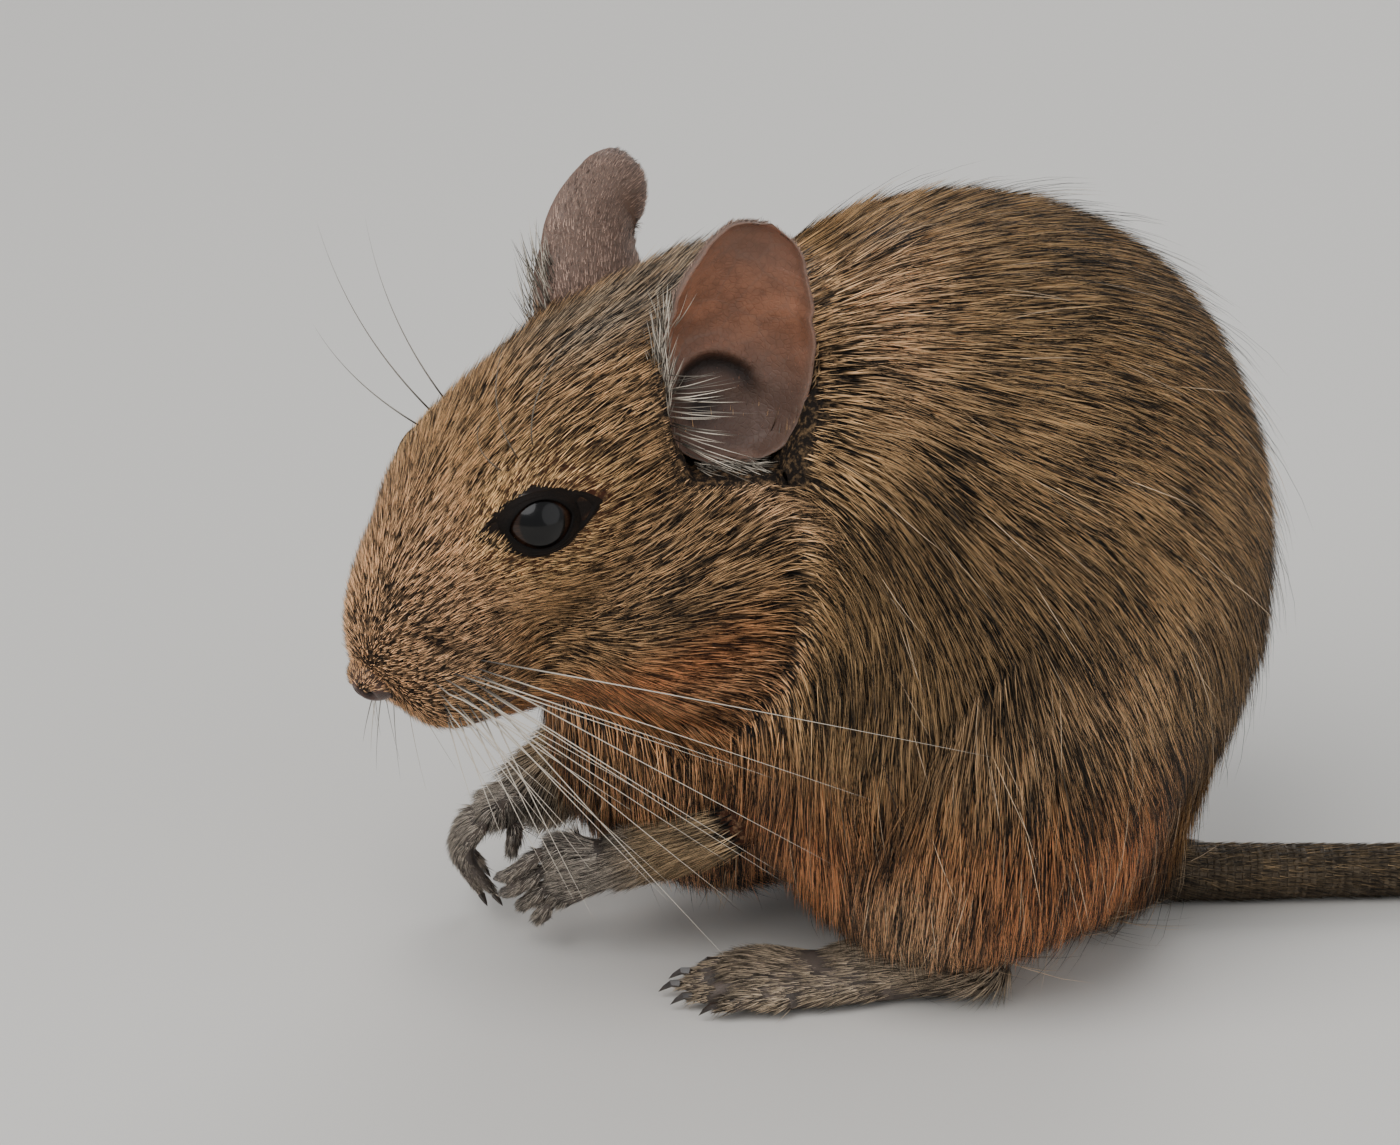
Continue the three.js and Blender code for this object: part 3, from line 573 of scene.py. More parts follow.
def markings_and_painted_light(points):
    """The coat's two colours at each point: the dark one near the skin and the light band near the tips.
    Each marking is a smooth mask of the place in the head's frame or over the floor. Most are the coat's
    own colours; the folds before the thighs and the creases above the whisker pads get painted shade,
    and the rufous low on the body is partly painted warm light thrown up from the floor."""
    c = bpy.context.scene.degu_colours
    q = head_view(points)
    a, b, up = q[..., 0], np.abs(q[..., 1]), q[..., 2]
    head = headness(points)
    x, z = points[..., 0], points[..., 2]
    under, band = (np.broadcast_to(linear(tone), points.shape).copy() for tone in (c.back_under, c.back_band))

    def lay(target, name, mask):
        """Moves one of the two colours towards a named one by a mask."""
        target += (linear(getattr(c, name)) - target) * np.clip(mask, 0, 1)[..., None]

    def dim(share, mask):
        """Darkens the light band."""
        band[...] *= 1 - share * mask[..., None]

    ripple = 3.0 * wave(points, 3, 7.0)
    trunk = 1 - head
    low = ease(40, 24, z + ripple) * trunk
    rear_dark = ease(37, 45, x) * ease(3, 12, z) * trunk
    low = low * (1 - 0.9 * rear_dark)
    # Low on the body the rufous is partly the coat's own warm colour and partly painted warm light thrown up
    # from the floor.
    lay(under, "rufous_under", 0.6 * low)
    lay(band, "rufous_band", 0.9 * low)
    drape = bell((x - 11.5) / 7.5) * ease(32, 22, z + 0.5 * ripple) * trunk
    lay(band, "pale_band", 0.9 * drape)
    lay(under, "back_under", 0.5 * drape)
    lay(band, "pale_band", 0.7 * ease(15, 5, z + ripple) * trunk * (1 - 0.6 * rear_dark))
    knee = bell((x - 28) / 15, (z - 41 - 0.2 * (x - 22)) / 6.0)
    lay(band, "pale_band", 0.6 * knee * trunk)
    nape = bell((x - 5) / 6.0, (z - 78) / 8.0) * ease(2, 8, np.abs(points[..., 1]))
    lay(band, "pale_band", 0.8 * nape)
    dim(0.3, bell((x - 9) / 8.0, (z - 64) / 9.0) * trunk)
    lay(band, "throat_band", ease(4, -14, x) * ease(42, 26, z) * trunk * 0.8)
    # Painted shade in the fold before each thigh.
    dim(0.5, thigh_fold(points) * trunk)
    dim(0.4, rear_dark * ease(66, 46, z))
    dim(0.3, ease(64, 54, z) * ease(36, 44, z) * ease(-6, 8, x) * ease(34, 22, x) * trunk)

    lay(band, "face_band", 0.8 * head)
    jowl = head * ease(-5, -12, up + 0.12 * a) * ease(2, 16, a)
    dim(0.2, head * ease(30, 18, a) * ease(4, -2, up))
    lay(band, "rufous_band", 0.9 * jowl)
    lay(under, "rufous_under", 0.5 * jowl)
    lay(band, "throat_band", 0.85 * head * ease(-12, -18, up))
    lay(band, "muzzle_band", 0.85 * head * ease(26, 35, a) * ease(-12, -7, up))
    eye = np.hypot((a - EYE_AT[0] - 0.2) / 1.25, up - EYE_AT[2] - 0.6)
    lay(band, "eye_ring", 0.9 * head * bell((eye - 5.0) / 2.3) * ease(6.5, 9.5, b))
    lay(under, "rufous_under", 0.7 * head * bell((eye - 5.0) / 2.6) * ease(6.5, 9.5, b))
    brow = bell((a - EYE_AT[0] - 1.0) / 5.4, (up - EYE_AT[2] - 5.4) / 2.4)
    lay(band, "eye_ring", 0.9 * head * ease(6.5, 9, b) * brow)
    # Painted shade in the crease above each whisker pad.
    dim(0.5, head * pad_crease(points))
    streak = head * bell((b - 2.2) / 3.2) * ease(4, 12, up) * ease(-12, -4, a) * ease(20, 8, a)
    lay(band, "crown_streak", 0.6 * streak)
    ear_front = bell((a - 4.5) / 3.0, (up - 11) / 6.0) * head * ease(8, 11, b)
    lay(band, "pale_band", 0.7 * ear_front)
    lay(band, "pale_band", 0.8 * head * ease(5.0, 2.5, np.hypot(a - 2.0, up + 1.0)) * ease(9, 12, b))
    return under, band


# The coat

def back_flow(points, normals):
    """The lie of the coat on the trunk. Along the spine it turns round the body's middle, from nape to
    rump. On the flanks it leans down by an angle that grows as the flank nears the floor."""
    r = points - np.array((20.0, 0.0, 42.0))
    flat = np.hypot(r[..., 0], r[..., 2]) + 1e-6
    turn = np.stack((r[..., 2] / flat, 0 * flat, -r[..., 0] / flat), axis=-1)
    chest = ease(0.25, -0.35, r[..., 2] / flat) * ease(2, -8, r[..., 0])
    turn = turn + (np.array((0.25, 0, -1.0)) - turn) * chest[..., None]
    belly = ease(-0.5, -0.85, normals[..., 2])
    turn = turn + (np.array((1.0, 0, 0)) - turn) * belly[..., None]
    lean = np.radians(np.interp(points[..., 2], (8, 28, 45, 60, 75, 86), (96, 86, 70, 44, 16, 0)))
    flank = np.stack((np.cos(lean), 0 * lean, -np.sin(lean)), axis=-1)
    share = ease(0.12, 0.6, np.abs(normals[..., 1])) * (1 - belly)
    return turn + (flank - turn) * share[..., None]


def face_flow(points):
    """The lie of the coat on the head: back from the nose, parted round each eye, and down at the jowl."""
    q = head_view(points)
    a, b, up = q[..., 0], q[..., 1], q[..., 2]
    spread = 0.25 * np.sign(b) * ease(0, 6, np.abs(b))
    way = np.stack((-np.ones_like(a), spread, 0.18 - 0.5 * ease(-2, -14, up)), axis=-1)
    from_eye = np.stack((a - EYE_AT[0], 0 * b, up - EYE_AT[2]), axis=-1)
    far = norm(from_eye)
    part = 0.9 * bell(far / 6.5) * ease(4, 8, np.abs(b))
    way = way + from_eye / (far[..., None] + 0.5) * part[..., None]
    ear = np.stack((a + 2.0, 0 * b, up - 6.0), axis=-1)
    near_ear = 0.6 * bell(norm(ear) / 9.0) * ease(7, 11, np.abs(b))
    way[..., 2] += near_ear * np.where(up > 4, 0.8, -0.6)
    return with_head(way)


def coat_lie(points, normals):
    """Unit directions along the skin in which the hairs lie."""
    head = headness(points)[..., None]
    return laid(back_flow(points, normals) * (1 - head) + face_flow(points) * head, normals)


def coat_length(points):
    """Hair length in millimetres: shortest on the muzzle, longest on flank and haunch."""
    q = head_view(points)
    c = bpy.context.scene.degu_coat
    face = np.interp(q[..., 0], (-8, 2, 12, 24, 32, 40, 46), (6.6, 5.0, 3.9, 3.0, 2.4, 1.7, 1.1))
    eye = norm(q - on_own_side(EYE_AT, q))
    face = face * mix(0.5, 1.0, ease(4.5, 10, eye))
    trunk = np.interp(points[..., 2], (0, 6, 20, 50, 90), (3.0, 6.0, 8.6, 7.8, 7.2))
    beside_ear = mix(0.35, 1.0, ease(0.4, 4.5, ear_room(points)))
    return mix(trunk, face, headness(points)) * beside_ear * c.length


def scattered(grid, count, weight, seed):
    """count random places on a grid's faces, drawn by area times weight(points), with their unwrap."""
    verts, quads, _, place = grid
    a, b, c, d = (verts[quads[:, k]] for k in range(4))
    area = norm(np.cross(c - a, d - b)) / 2
    share = area * weight((a + b + c + d) / 4)
    draw = np.random.default_rng(seed)
    face = draw.choice(len(quads), size=count, p=share / share.sum())
    s, t = draw.random((2, count, 1))

    def between(p):
        """Values of four corners, mixed by the shares s and t."""
        return (1 - s) * (1 - t) * p[:, 0] + s * (1 - t) * p[:, 1] + s * t * p[:, 2] + (1 - s) * t * p[:, 3]

    return between(np.stack((a, b, c, d), axis=1)[face]), between(corner_places(place, quads[face]))


def tufts(roots, normals, lie, length, width, rise, seed, clump=0.0, cell=1.8, segments=2, wild=0.12):
    """Closed, tapered tufts of three sides. The middle line at a share s is
    root + length (s lie + (0.14 + rise) s n - (0.09 + 0.55 rise) s^2 n), after which the far points are
    drawn towards the mean of their cell of the coat by the share called clump. Returns verts, tris, the
    share along its tuft of each vertex and the number of vertices in a tuft."""
    draw = np.random.default_rng(seed)
    n = len(roots)
    side = np.cross(normals, lie)
    drift = wave(roots, seed + 50, 5.0)[:, None] * 0.16 + draw.normal(size=(n, 1)) * wild
    lie = unit(lie + side * drift)
    side = np.cross(normals, lie)
    lift = np.reshape(rise, (-1, 1)) * (1 + 0.5 * draw.normal(size=(n, 1))
                                        + 0.35 * wave(roots, seed + 51, 4.0)[:, None])
    lift = np.clip(lift, 0.03, 0.9)
    length = (length * (1 + 0.16 * draw.normal(size=n)).clip(0.55, 1.6))[:, None]
    shares = np.linspace(0, 1, segments + 1)
    line = [roots + length * (s * lie + (0.14 + lift) * s * normals - (0.55 * lift + 0.09) * s * s * normals)
            for s in shares]
    if clump:
        key = np.floor(roots / cell + 0.35 * wave(roots, seed + 52, 3.0)[:, None]).astype(np.int64)
        key = (key[:, 0] * 4099 + key[:, 1]) * 4099 + key[:, 2]
        _, group = np.unique(key, return_inverse=True)
        many = np.bincount(group)
        for k, s in enumerate(shares[1:], start=1):
            centre = np.stack([np.bincount(group, weights=line[k][:, i]) / many for i in range(3)],
                              axis=1)[group]
            line[k] = mix(line[k], centre, clump * s)
    width = np.asarray(width) * (1 + 0.2 * draw.normal(size=n)).clip(0.5, 1.6)
    rows = []
    angles = np.array((0.5, 2.6, 4.7))
    for k, s in enumerate(shares[:-1]):
        r = (width * 0.5 * (1 - 0.75 * s))[:, None]
        rows.append(np.stack([line[k] + r * (math.cos(a) * side + math.sin(a) * normals * 0.8)
                              for a in angles], axis=1))
    rows[0] -= normals[:, None] * 0.25
    verts = np.concatenate(rows + [line[-1][:, None]], axis=1)
    per = verts.shape[1]
    faces = [(0, 2, 1)]
    for k in range(segments - 1):
        for j in range(3):
            p, q = 3 * k + j, 3 * k + (j + 1) % 3
            faces += [(p, q, q + 3), (p, q + 3, p + 3)]
    last = 3 * (segments - 1)
    faces += [(last + j, last + (j + 1) % 3, per - 1) for j in range(3)]
    faces = np.array(faces)
    kept_up(verts)
    if volume_of(verts[0] - verts[0].mean(axis=0), np.empty((0, 4), int), faces) < 0:
        faces = faces[:, ::-1]
    tris = (faces[None] + per * np.arange(n)[:, None, None]).reshape(-1, 3)
    along = np.tile(np.append(np.repeat(shares[:-1], 3), 1.0), n)
    return verts.reshape(-1, 3), tris, along, per


def tuft_piece(name, roots, uv, normals, lie, length, under, band, seed, width, rise, clump=0.3, cell=1.8,
               segments=2, wild=0.12, tip_dark=0.5, patchy=0.22, slot="coat", nodes=()):
    """One piece of coat. On its unwrap each tuft is a patch 0.003 across at its root's place."""
    under, band = (np.broadcast_to(tone, roots.shape) for tone in (under, band))
    verts, tris, along, per = tufts(
        roots, normals, lie, length, width, rise, seed, clump, cell, segments, wild)
    draw = np.random.default_rng(seed + 9)
    streak = wave(roots, seed + 60, 1.6) * 0.5 + wave(roots, 77, 5.0) * 0.35
    kind = np.clip(0.54 + 0.34 * draw.normal(size=len(roots)) + patchy * streak, 0, 1)
    kind = np.where(draw.random(len(roots)) < 0.22, 0.12 * kind, kind)

    def spread(values):
        """A value of each tuft for each of its points."""
        return np.repeat(values, per, axis=0)

    across = np.tile(np.append(np.tile((0.0, 0.5, 1.0), segments), 0.5), len(roots))
    patch = np.stack((across, along), axis=1) * 0.003
    point_uv = np.clip(spread(uv) % 1.0, 0.002, 0.995) + patch
    piece = made_mesh(name, verts, tris=tris, corner_uv=point_uv[tris.ravel()], attributes={
        "along": along, "kind": spread(kind), "tip_dark": np.full(len(verts), tip_dark),
        "under": spread(under), "band": spread(band)})
    placed(piece, hair_material(), slot, nodes)


# Materials

def fed(tree, socket, value):
    """Links a socket to another, or sets its value."""
    if isinstance(value, bpy.types.NodeSocket):
        tree.links.new(value, socket)
    elif socket.type == "RGBA":
        socket.default_value = (*value[:3], 1.0)
    else:
        socket.default_value = value


def node(tree, kind, inputs=(), **settings):
    """A node with its settings, and its inputs given by name or number."""
    made = tree.nodes.new(kind)
    for key, value in settings.items():
        setattr(made, key, value)
    for key, value in dict(inputs).items():
        fed(tree, made.inputs[key], value)
    return made


def calc(tree, operation, *values, clamp=False):
    """One step of arithmetic."""
    return node(tree, "ShaderNodeMath", enumerate(values), operation=operation, use_clamp=clamp).outputs[0]


def stepped(tree, value, low, high):
    """0 at low, 1 at high, smooth between."""
    made = node(tree, "ShaderNodeMapRange", {0: value, 1: low, 2: high}, interpolation_type="SMOOTHSTEP")
    return made.outputs[0]


def blended(tree, share, a, b, mode="MIX"):
    """Two colours mixed."""
    return node(tree, "ShaderNodeMix", {0: share, 6: a, 7: b}, data_type="RGBA", blend_type=mode).outputs[2]


def speckle(tree, scale, detail=3.0, roughness=0.55):
    """Noise on the object's own coordinates, from 0 to 1."""
    place = node(tree, "ShaderNodeTexCoord").outputs["Object"]
    return node(tree, "ShaderNodeTexNoise", {"Vector": place, "Scale": scale, "Detail": detail,
                                             "Roughness": roughness}).outputs[0]


def attribute(tree, name, colour=False):
    """A value or colour that the mesh carries."""
    made = node(tree, "ShaderNodeAttribute", attribute_name=name)
    return made.outputs["Color" if colour else "Fac"]


def effect(name, inputs, outputs, build):
    """A shader node group, made once. build(tree, inputs) returns its outputs in order."""
    if name in bpy.data.node_groups:
        return bpy.data.node_groups[name]
    group = bpy.data.node_groups.new(name, "ShaderNodeTree")
    for key, kind, default in inputs:
        group.interface.new_socket(name=key, in_out="INPUT", socket_type=kind).default_value = default
    for key, kind in outputs:
        group.interface.new_socket(name=key, in_out="OUTPUT", socket_type=kind)
    start = group.nodes.new("NodeGroupInput")
    end = group.nodes.new("NodeGroupOutput")
    for socket, value in zip(end.inputs, build(group, start.outputs)):
        group.links.new(value, socket)
    return group


def use(tree, group, **inputs):
    """A placed node group."""
    made = tree.nodes.new("ShaderNodeGroup")
    made.node_tree = group
    for key, value in inputs.items():
        fed(tree, made.inputs[key.replace("_", " ")], value)
    return made.outputs


COLOUR, NUMBER = "NodeSocketColor", "NodeSocketFloat"


def ticked_hair():
    """Hair that is dark at its root and light in a band, with a dark tip on some hairs."""
    def build(tree, i):
        start = calc(tree, "MULTIPLY_ADD", i["Kind"], -0.25, 0.52)
        mask = stepped(tree, calc(tree, "SUBTRACT", i["Along"], start), -0.2, 0.14)
        colour = blended(tree, mask, i["Under"], i["Band"])
        dark = calc(tree, "MULTIPLY", stepped(tree, i["Along"], 0.3, 0.7),
                    stepped(tree, i["Kind"], 0.56, 0.42))
        colour = blended(tree, calc(tree, "MULTIPLY", dark, i["Tip"]), colour, i["Dark"])
        end = calc(tree, "MULTIPLY", stepped(tree, i["Along"], 0.86, 0.97),
                   calc(tree, "MULTIPLY", i["Tip"], 0.8))
        colour = blended(tree, end, colour, i["Dark"])
        tone = calc(tree, "MULTIPLY_ADD", i["Kind"], 1.95, 0.12)
        grey = node(tree, "ShaderNodeCombineColor", {0: tone, 1: tone, 2: tone}).outputs[0]
        colour = blended(tree, 1.0, colour, grey, "MULTIPLY")
        rough = calc(tree, "MULTIPLY_ADD", i["Along"], -0.14, 0.64)
        return colour, rough
    return effect("Ticked hair", (
        ("Under", COLOUR, (0.05, 0.04, 0.03, 1)), ("Band", COLOUR, (0.3, 0.2, 0.1, 1)),
        ("Dark", COLOUR, (0.01, 0.009, 0.008, 1)), ("Along", NUMBER, 0.5), ("Kind", NUMBER, 0.5),
        ("Tip", NUMBER, 0.5)), (("Colour", COLOUR), ("Roughness", NUMBER)), build)


def skin_grain():
    """Bare skin: two tones mottled by noise, and a height of fine cells over broad wrinkles."""
    def build(tree, i):
        place = node(tree, "ShaderNodeTexCoord").outputs["Object"]
        cells = node(tree, "ShaderNodeTexVoronoi", {"Vector": place, "Scale": i["Scale"]},
                     feature="DISTANCE_TO_EDGE")
        wide = calc(tree, "MULTIPLY", i["Scale"], 0.22)
        noise = node(tree, "ShaderNodeTexNoise", {"Vector": place, "Scale": wide, "Detail": 5.0}).outputs[0]
        crack = stepped(tree, cells.outputs[0], 0.0, 0.16)
        share = calc(tree, "ADD", stepped(tree, noise, 0.38, 0.66), calc(tree, "MULTIPLY", crack, 0.25),
                     clamp=True)
        colour = blended(tree, share, i["Second"], i["Colour"])
        height = calc(tree, "ADD", calc(tree, "MULTIPLY", crack, 0.35), noise)
        rough = calc(tree, "MULTIPLY_ADD", noise, 0.35, i["Roughness"])
        return colour, calc(tree, "SUBTRACT", rough, 0.17, clamp=True), height
    return effect("Skin grain", (
        ("Colour", COLOUR, (0.2, 0.15, 0.12, 1)), ("Second", COLOUR, (0.1, 0.07, 0.06, 1)),
        ("Scale", NUMBER, 2500.0), ("Roughness", NUMBER, 0.5)),
        (("Colour", COLOUR), ("Roughness", NUMBER), ("Height", NUMBER)), build)


def finish(name, build, **constants):
    """A material, made once, with one Principled shader. build(tree) returns what feeds its other inputs."""
    if name not in bpy.data.materials:
        material = bpy.data.materials.new(name)
        material.use_nodes = True
        tree = material.node_tree
        for key, value in {**constants, **build(tree)}.items():
            fed(tree, tree.nodes["Principled BSDF"].inputs[key.replace("_", " ")], value)
    return bpy.data.materials[name]


def bumped(tree, height, distance, strength=1.0):
    """A shading normal tilted by a height."""
    inputs = {"Height": height, "Distance": distance, "Strength": strength}
    return node(tree, "ShaderNodeBump", inputs).outputs[0]


def hair_material():
    """Hair whose colours the tufts carry from root to tip."""
    def build(tree):
        out = use(tree, ticked_hair(),
                  Under=attribute(tree, "under", True), Band=attribute(tree, "band", True),
                  Dark=linear(bpy.context.scene.degu_colours.tip), Along=attribute(tree, "along"),
                  Kind=attribute(tree, "kind"), Tip=attribute(tree, "tip_dark"))
        return {"Base Color": out["Colour"], "Roughness": out["Roughness"]}
    return finish("Degu hair", build, Specular_IOR_Level=0.35)


def underfur_material():
    """The skin below the coat: the coat's own two colours in fine streaks."""
    def build(tree):
        fine = speckle(tree, 1400.0, 4.0, 0.7)
        colour = blended(tree, calc(tree, "MULTIPLY", stepped(tree, fine, 0.45, 0.75), 0.35),
                         attribute(tree, "under", True), attribute(tree, "band", True))
        return {"Base Color": colour, "Normal": bumped(tree, fine, 0.0004, 0.8)}
    return finish("Degu underfur", build, Roughness=0.85, Specular_IOR_Level=0.2)


def bare_material(name, colour, second, scale, rough, distance, coat=0.0, specular=0.4):
    """Bare skin with grain. The attribute called shade darkens hollows and joins."""
    def build(tree):
        out = use(tree, skin_grain(), Colour=linear(colour), Second=linear(second), Scale=scale,
                  Roughness=rough)
        shaded = blended(tree, attribute(tree, "shade"), out["Colour"], tuple(linear(second) * 0.35))
        return {"Base Color": shaded, "Roughness": out["Roughness"],
                "Normal": bumped(tree, out["Height"], distance)}
    return finish(name, build, Coat_Weight=coat, Coat_Roughness=0.2, Specular_IOR_Level=specular)


def ear_material():
    """The ear: thin skin, brownish pink in the cup, greyer below, dark along the rim and on its back, with
    painted shadow, near black, under the ridge and in the canal.
    """
    def build(tree):
        c = bpy.context.scene.degu_colours
        out = use(tree, skin_grain(), Colour=linear(c.ear_inner), Second=linear(c.ear_inner) * 0.62,
                  Scale=1500.0, Roughness=0.5)
        colour = blended(tree, attribute(tree, "lower"), out["Colour"], linear(c.ear_lower))
        place = node(tree, "ShaderNodeTexCoord").outputs["Object"]
        vein = node(tree, "ShaderNodeTexVoronoi", {"Vector": place, "Scale": 260.0},
                    feature="DISTANCE_TO_EDGE").outputs[0]
        for share in (calc(tree, "MULTIPLY", stepped(tree, vein, 0.07, 0.0), 0.22), attribute(tree, "rim")):
            colour = blended(tree, share, colour, linear(c.ear_rim))
        # Painted shadow under the ridge and painted shade in the canal, near black.
        colour = blended(tree, attribute(tree, "shade"), colour, (0.012, 0.008, 0.007))
        return {"Base Color": colour, "Roughness": out["Roughness"],
                "Normal": bumped(tree, out["Height"], 0.00008)}
    return finish("Degu ear", build, Subsurface_Weight=0.12, Subsurface_Radius=(0.002, 0.0008, 0.0005),
                  Subsurface_Scale=1.0, Specular_IOR_Level=0.35)


def eye_material():
    """The eye: a dark upright pupil in a brown iris with fine spokes, under a clear wet coat."""
    def build(tree):
        c = bpy.context.scene.degu_colours
        turn = calc(tree, "MULTIPLY", attribute(tree, "turn"), 9.0)
        place = node(tree, "ShaderNodeCombineXYZ", {0: turn, 1: attribute(tree, "out")}).outputs[0]
        fine = node(tree, "ShaderNodeTexNoise", {"Vector": place, "Scale": 2.2, "Detail": 4.0}).outputs[0]
        iris = blended(tree, stepped(tree, fine, 0.35, 0.7), linear(c.iris) * 0.45, linear(c.iris))
        iris = blended(tree, stepped(tree, attribute(tree, "out"), 0.72, 0.95), iris, linear(c.iris) * 0.25)
        colour = blended(tree, attribute(tree, "pupil"), iris, (0.002, 0.0016, 0.0015))
        return {"Base Color": colour}
    return finish("Degu eye", build, Roughness=0.3, Coat_Weight=1.0, Coat_Roughness=0.1, Coat_IOR=1.33,
                  Specular_IOR_Level=0.1)


def horn_material():
    """Claws: dark horn, mottled by fine grain."""
    def build(tree):
        c = bpy.context.scene.degu_colours
        fine = speckle(tree, 900.0, 4.0)
        colour = blended(tree, stepped(tree, fine, 0.35, 0.7), linear(c.claw) * 0.6, linear(c.claw))
        return {"Base Color": colour, "Roughness": calc(tree, "MULTIPLY_ADD", fine, 0.3, 0.2),
                "Normal": bumped(tree, fine, 0.00004)}
    return finish("Degu claw", build, Coat_Weight=0.3, Coat_Roughness=0.25)


def whisker_material():
    """Whiskers: pale for most, darker at the root, with a soft gloss."""
    def build(tree):
        colour = blended(tree, stepped(tree, attribute(tree, "along"), 0.0, 0.2),
                         attribute(tree, "under", True), attribute(tree, "band", True))
        fine = speckle(tree, 700.0)
        colour = blended(tree, calc(tree, "MULTIPLY", fine, 0.2), colour, (0.2, 0.17, 0.14))
        return {"Base Color": colour}
    return finish("Degu whisker", build, Roughness=0.3, Specular_IOR_Level=0.5)


def tail_material():
    """The tail's skin: rings of small scales that the attributes run and turn place along it."""
    def build(tree):
        c = bpy.context.scene.degu_colours
        place = node(tree, "ShaderNodeCombineXYZ", {
            0: calc(tree, "MULTIPLY", attribute(tree, "run"), 1.1), 1: attribute(tree, "turn")}).outputs[0]
        cells = node(tree, "ShaderNodeTexVoronoi", {"Vector": place, "Scale": 1.0, "Randomness": 0.35},
                     voronoi_dimensions="2D", feature="DISTANCE_TO_EDGE").outputs[0]
        edge = stepped(tree, cells, 0.02, 0.2)
        colour = blended(tree, edge, linear(c.tail) * 0.45, linear(c.tail))
        colour = blended(tree, calc(tree, "MULTIPLY", speckle(tree, 600.0), 0.4), colour, linear(c.tail_band))
        return {"Base Color": colour, "Normal": bumped(tree, edge, 0.00015)}
    return finish("Degu tail", build, Roughness=0.6)


def floor_material():
    """A plain pale floor with the faintest unevenness."""
    def build(tree):
        stage = bpy.context.scene.degu_stage
        cloud = speckle(tree, 4.0, 3.0)
        colour = blended(tree, calc(tree, "MULTIPLY", cloud, 0.06), linear(stage.floor), (0.6, 0.58, 0.55))
        return {"Base Color": colour}
    return finish("Pale floor", build, Roughness=0.75, Specular_IOR_Level=0.2)


# Sizes and colours that a user may change

def shade(name, description, *rgb):
    """A colour property, given as seen on screen from 0 to 255."""
    return bpy.props.FloatVectorProperty(
        name=name, description=description, subtype="COLOR_GAMMA", size=3, min=0.0, max=1.0,
        default=tuple(c / 255 for c in rgb))


def number(name, description, default, low, high, kind=bpy.props.FloatProperty, **more):
    """A property that holds one number."""
    return kind(name=name, description=description, default=default, min=low, max=high, **more)


def length(name, description, metres, low, high):
    """A length property in metres."""
    return number(name, description, metres, low, high, precision=5, subtype="DISTANCE", unit="LENGTH")


def whole(name, description, default, low, high):
    """A number of tufts."""
    return number(name, description, default, low, high, bpy.props.IntProperty)


class DeguColours(bpy.types.PropertyGroup):
    """Colours of coat, skin and eyes"""
    back_under: shade("Back, root", "Roots of the hair on the back", 27, 21, 17)
    back_band: shade("Back, band", "Light band of the hair on the back", 196, 158, 112)
    face_band: shade("Face", "Light band of the hair on the face", 220, 174, 124)
    # Low on the flank these rufous colours are partly the coat's own and partly painted warm light from the
    # floor.
    rufous_under: shade("Flank, root", "Roots of the hair on the flank", 82, 46, 29)
    rufous_band: shade("Flank, band", "Light band of the hair on the flank", 222, 146, 94)
    pale_band: shade("Belly", "Pale hair low on the body", 238, 192, 146)
    muzzle_band: shade("Muzzle", "Hair on the muzzle", 240, 190, 142)
    eye_ring: shade("Eye ring", "Pale hair round the eye", 246, 200, 140)
    crown_streak: shade("Crown", "Grey streak over the crown", 172, 164, 148)
    throat_band: shade("Throat", "Hair of throat and chest", 244, 186, 136)
    tip: shade("Tips", "Dark tips of the hair", 20, 17, 15)
    guard: shade("Guard hair", "Long pale guard hairs", 190, 164, 134)
    paw_band: shade("Paws", "Short hair on hands and feet", 188, 160, 124)
    hand_band: shade("Hands", "Pale hair on the dark hands", 186, 174, 160)
    paw_skin: shade("Paw skin", "Bare skin of hands and feet", 104, 92, 84)
    ear_inner: shade("Ear", "Skin in the cup of the ear", 158, 109, 84)
    ear_lower: shade("Ear, foot", "Skin low in the ear", 100, 78, 68)
    ear_rim: shade("Ear, rim", "Rim and back of the ear", 122, 100, 88)
    ear_back: shade("Ear, back", "Short hair on the back of the ear", 170, 142, 126)
    ear_hair: shade("Ear hair", "White hair at the front of the ear", 224, 212, 194)
    iris: shade("Iris", "The eye's iris", 52, 34, 24)
    lid: shade("Lids", "Bare skin round the eye", 27, 20, 16)
    nose: shade("Nose", "The nose's bare skin", 92, 62, 52)
    claw: shade("Claws", "The claws' horn", 62, 52, 46)
    tail: shade("Tail", "Scaly skin of the tail", 72, 60, 44)
    tail_band: shade("Tail, band", "Ticking of the hair on the tail", 138, 114, 82)


class DeguCoat(bpy.types.PropertyGroup):
    """Size and number of the coat's tufts"""
    length: number("Length", "Length of the coat against life", 1.0, 0.3, 1.5, subtype="FACTOR")
    width: length("Width", "Breadth of a tuft at its root", 0.00022, 0.0001, 0.001)
    trunk: whole("Trunk", "Number of tufts on the trunk", 172000, 1000, 240000)
    head: whole("Head", "Number of tufts on the head", 84000, 1000, 120000)
    guard: whole("Guard hairs", "Number of long guard hairs", 2300, 0, 10000)


class DeguBody(bpy.types.PropertyGroup):
    """Sizes of the bare parts"""
    eye: length("Eye", "Radius of the eyeball", 0.0046, 0.003, 0.006)
    ear: length("Ear", "Thickness of the ear", 0.0008, 0.0004, 0.0015)
    whisker: length("Whisker", "Radius of a whisker at its root", 0.0001, 0.00005, 0.0004)


class DeguStage(bpy.types.PropertyGroup):
    """Floor, light and camera"""
    floor: shade("Floor", "Colour of the floor", 226, 222, 216)
    key: number("Key light", "Power of the large light", 6.8, 0.0, 100.0, subtype="POWER", unit="POWER")
    fill: number("Fill light", "Power of the second light", 2.0, 0.0, 100.0, subtype="POWER", unit="POWER")
    lens: number("Lens", "Focal length", 140.26, 20.0, 400.0, unit="CAMERA")
    distance: length("Distance", "From the camera to the animal", 0.6, 0.2, 5.0)
    elevation: number("Elevation", "How far the camera looks down", math.radians(23.0), 0.0, 1.5,
                      subtype="ANGLE", unit="ROTATION")


# Pieces

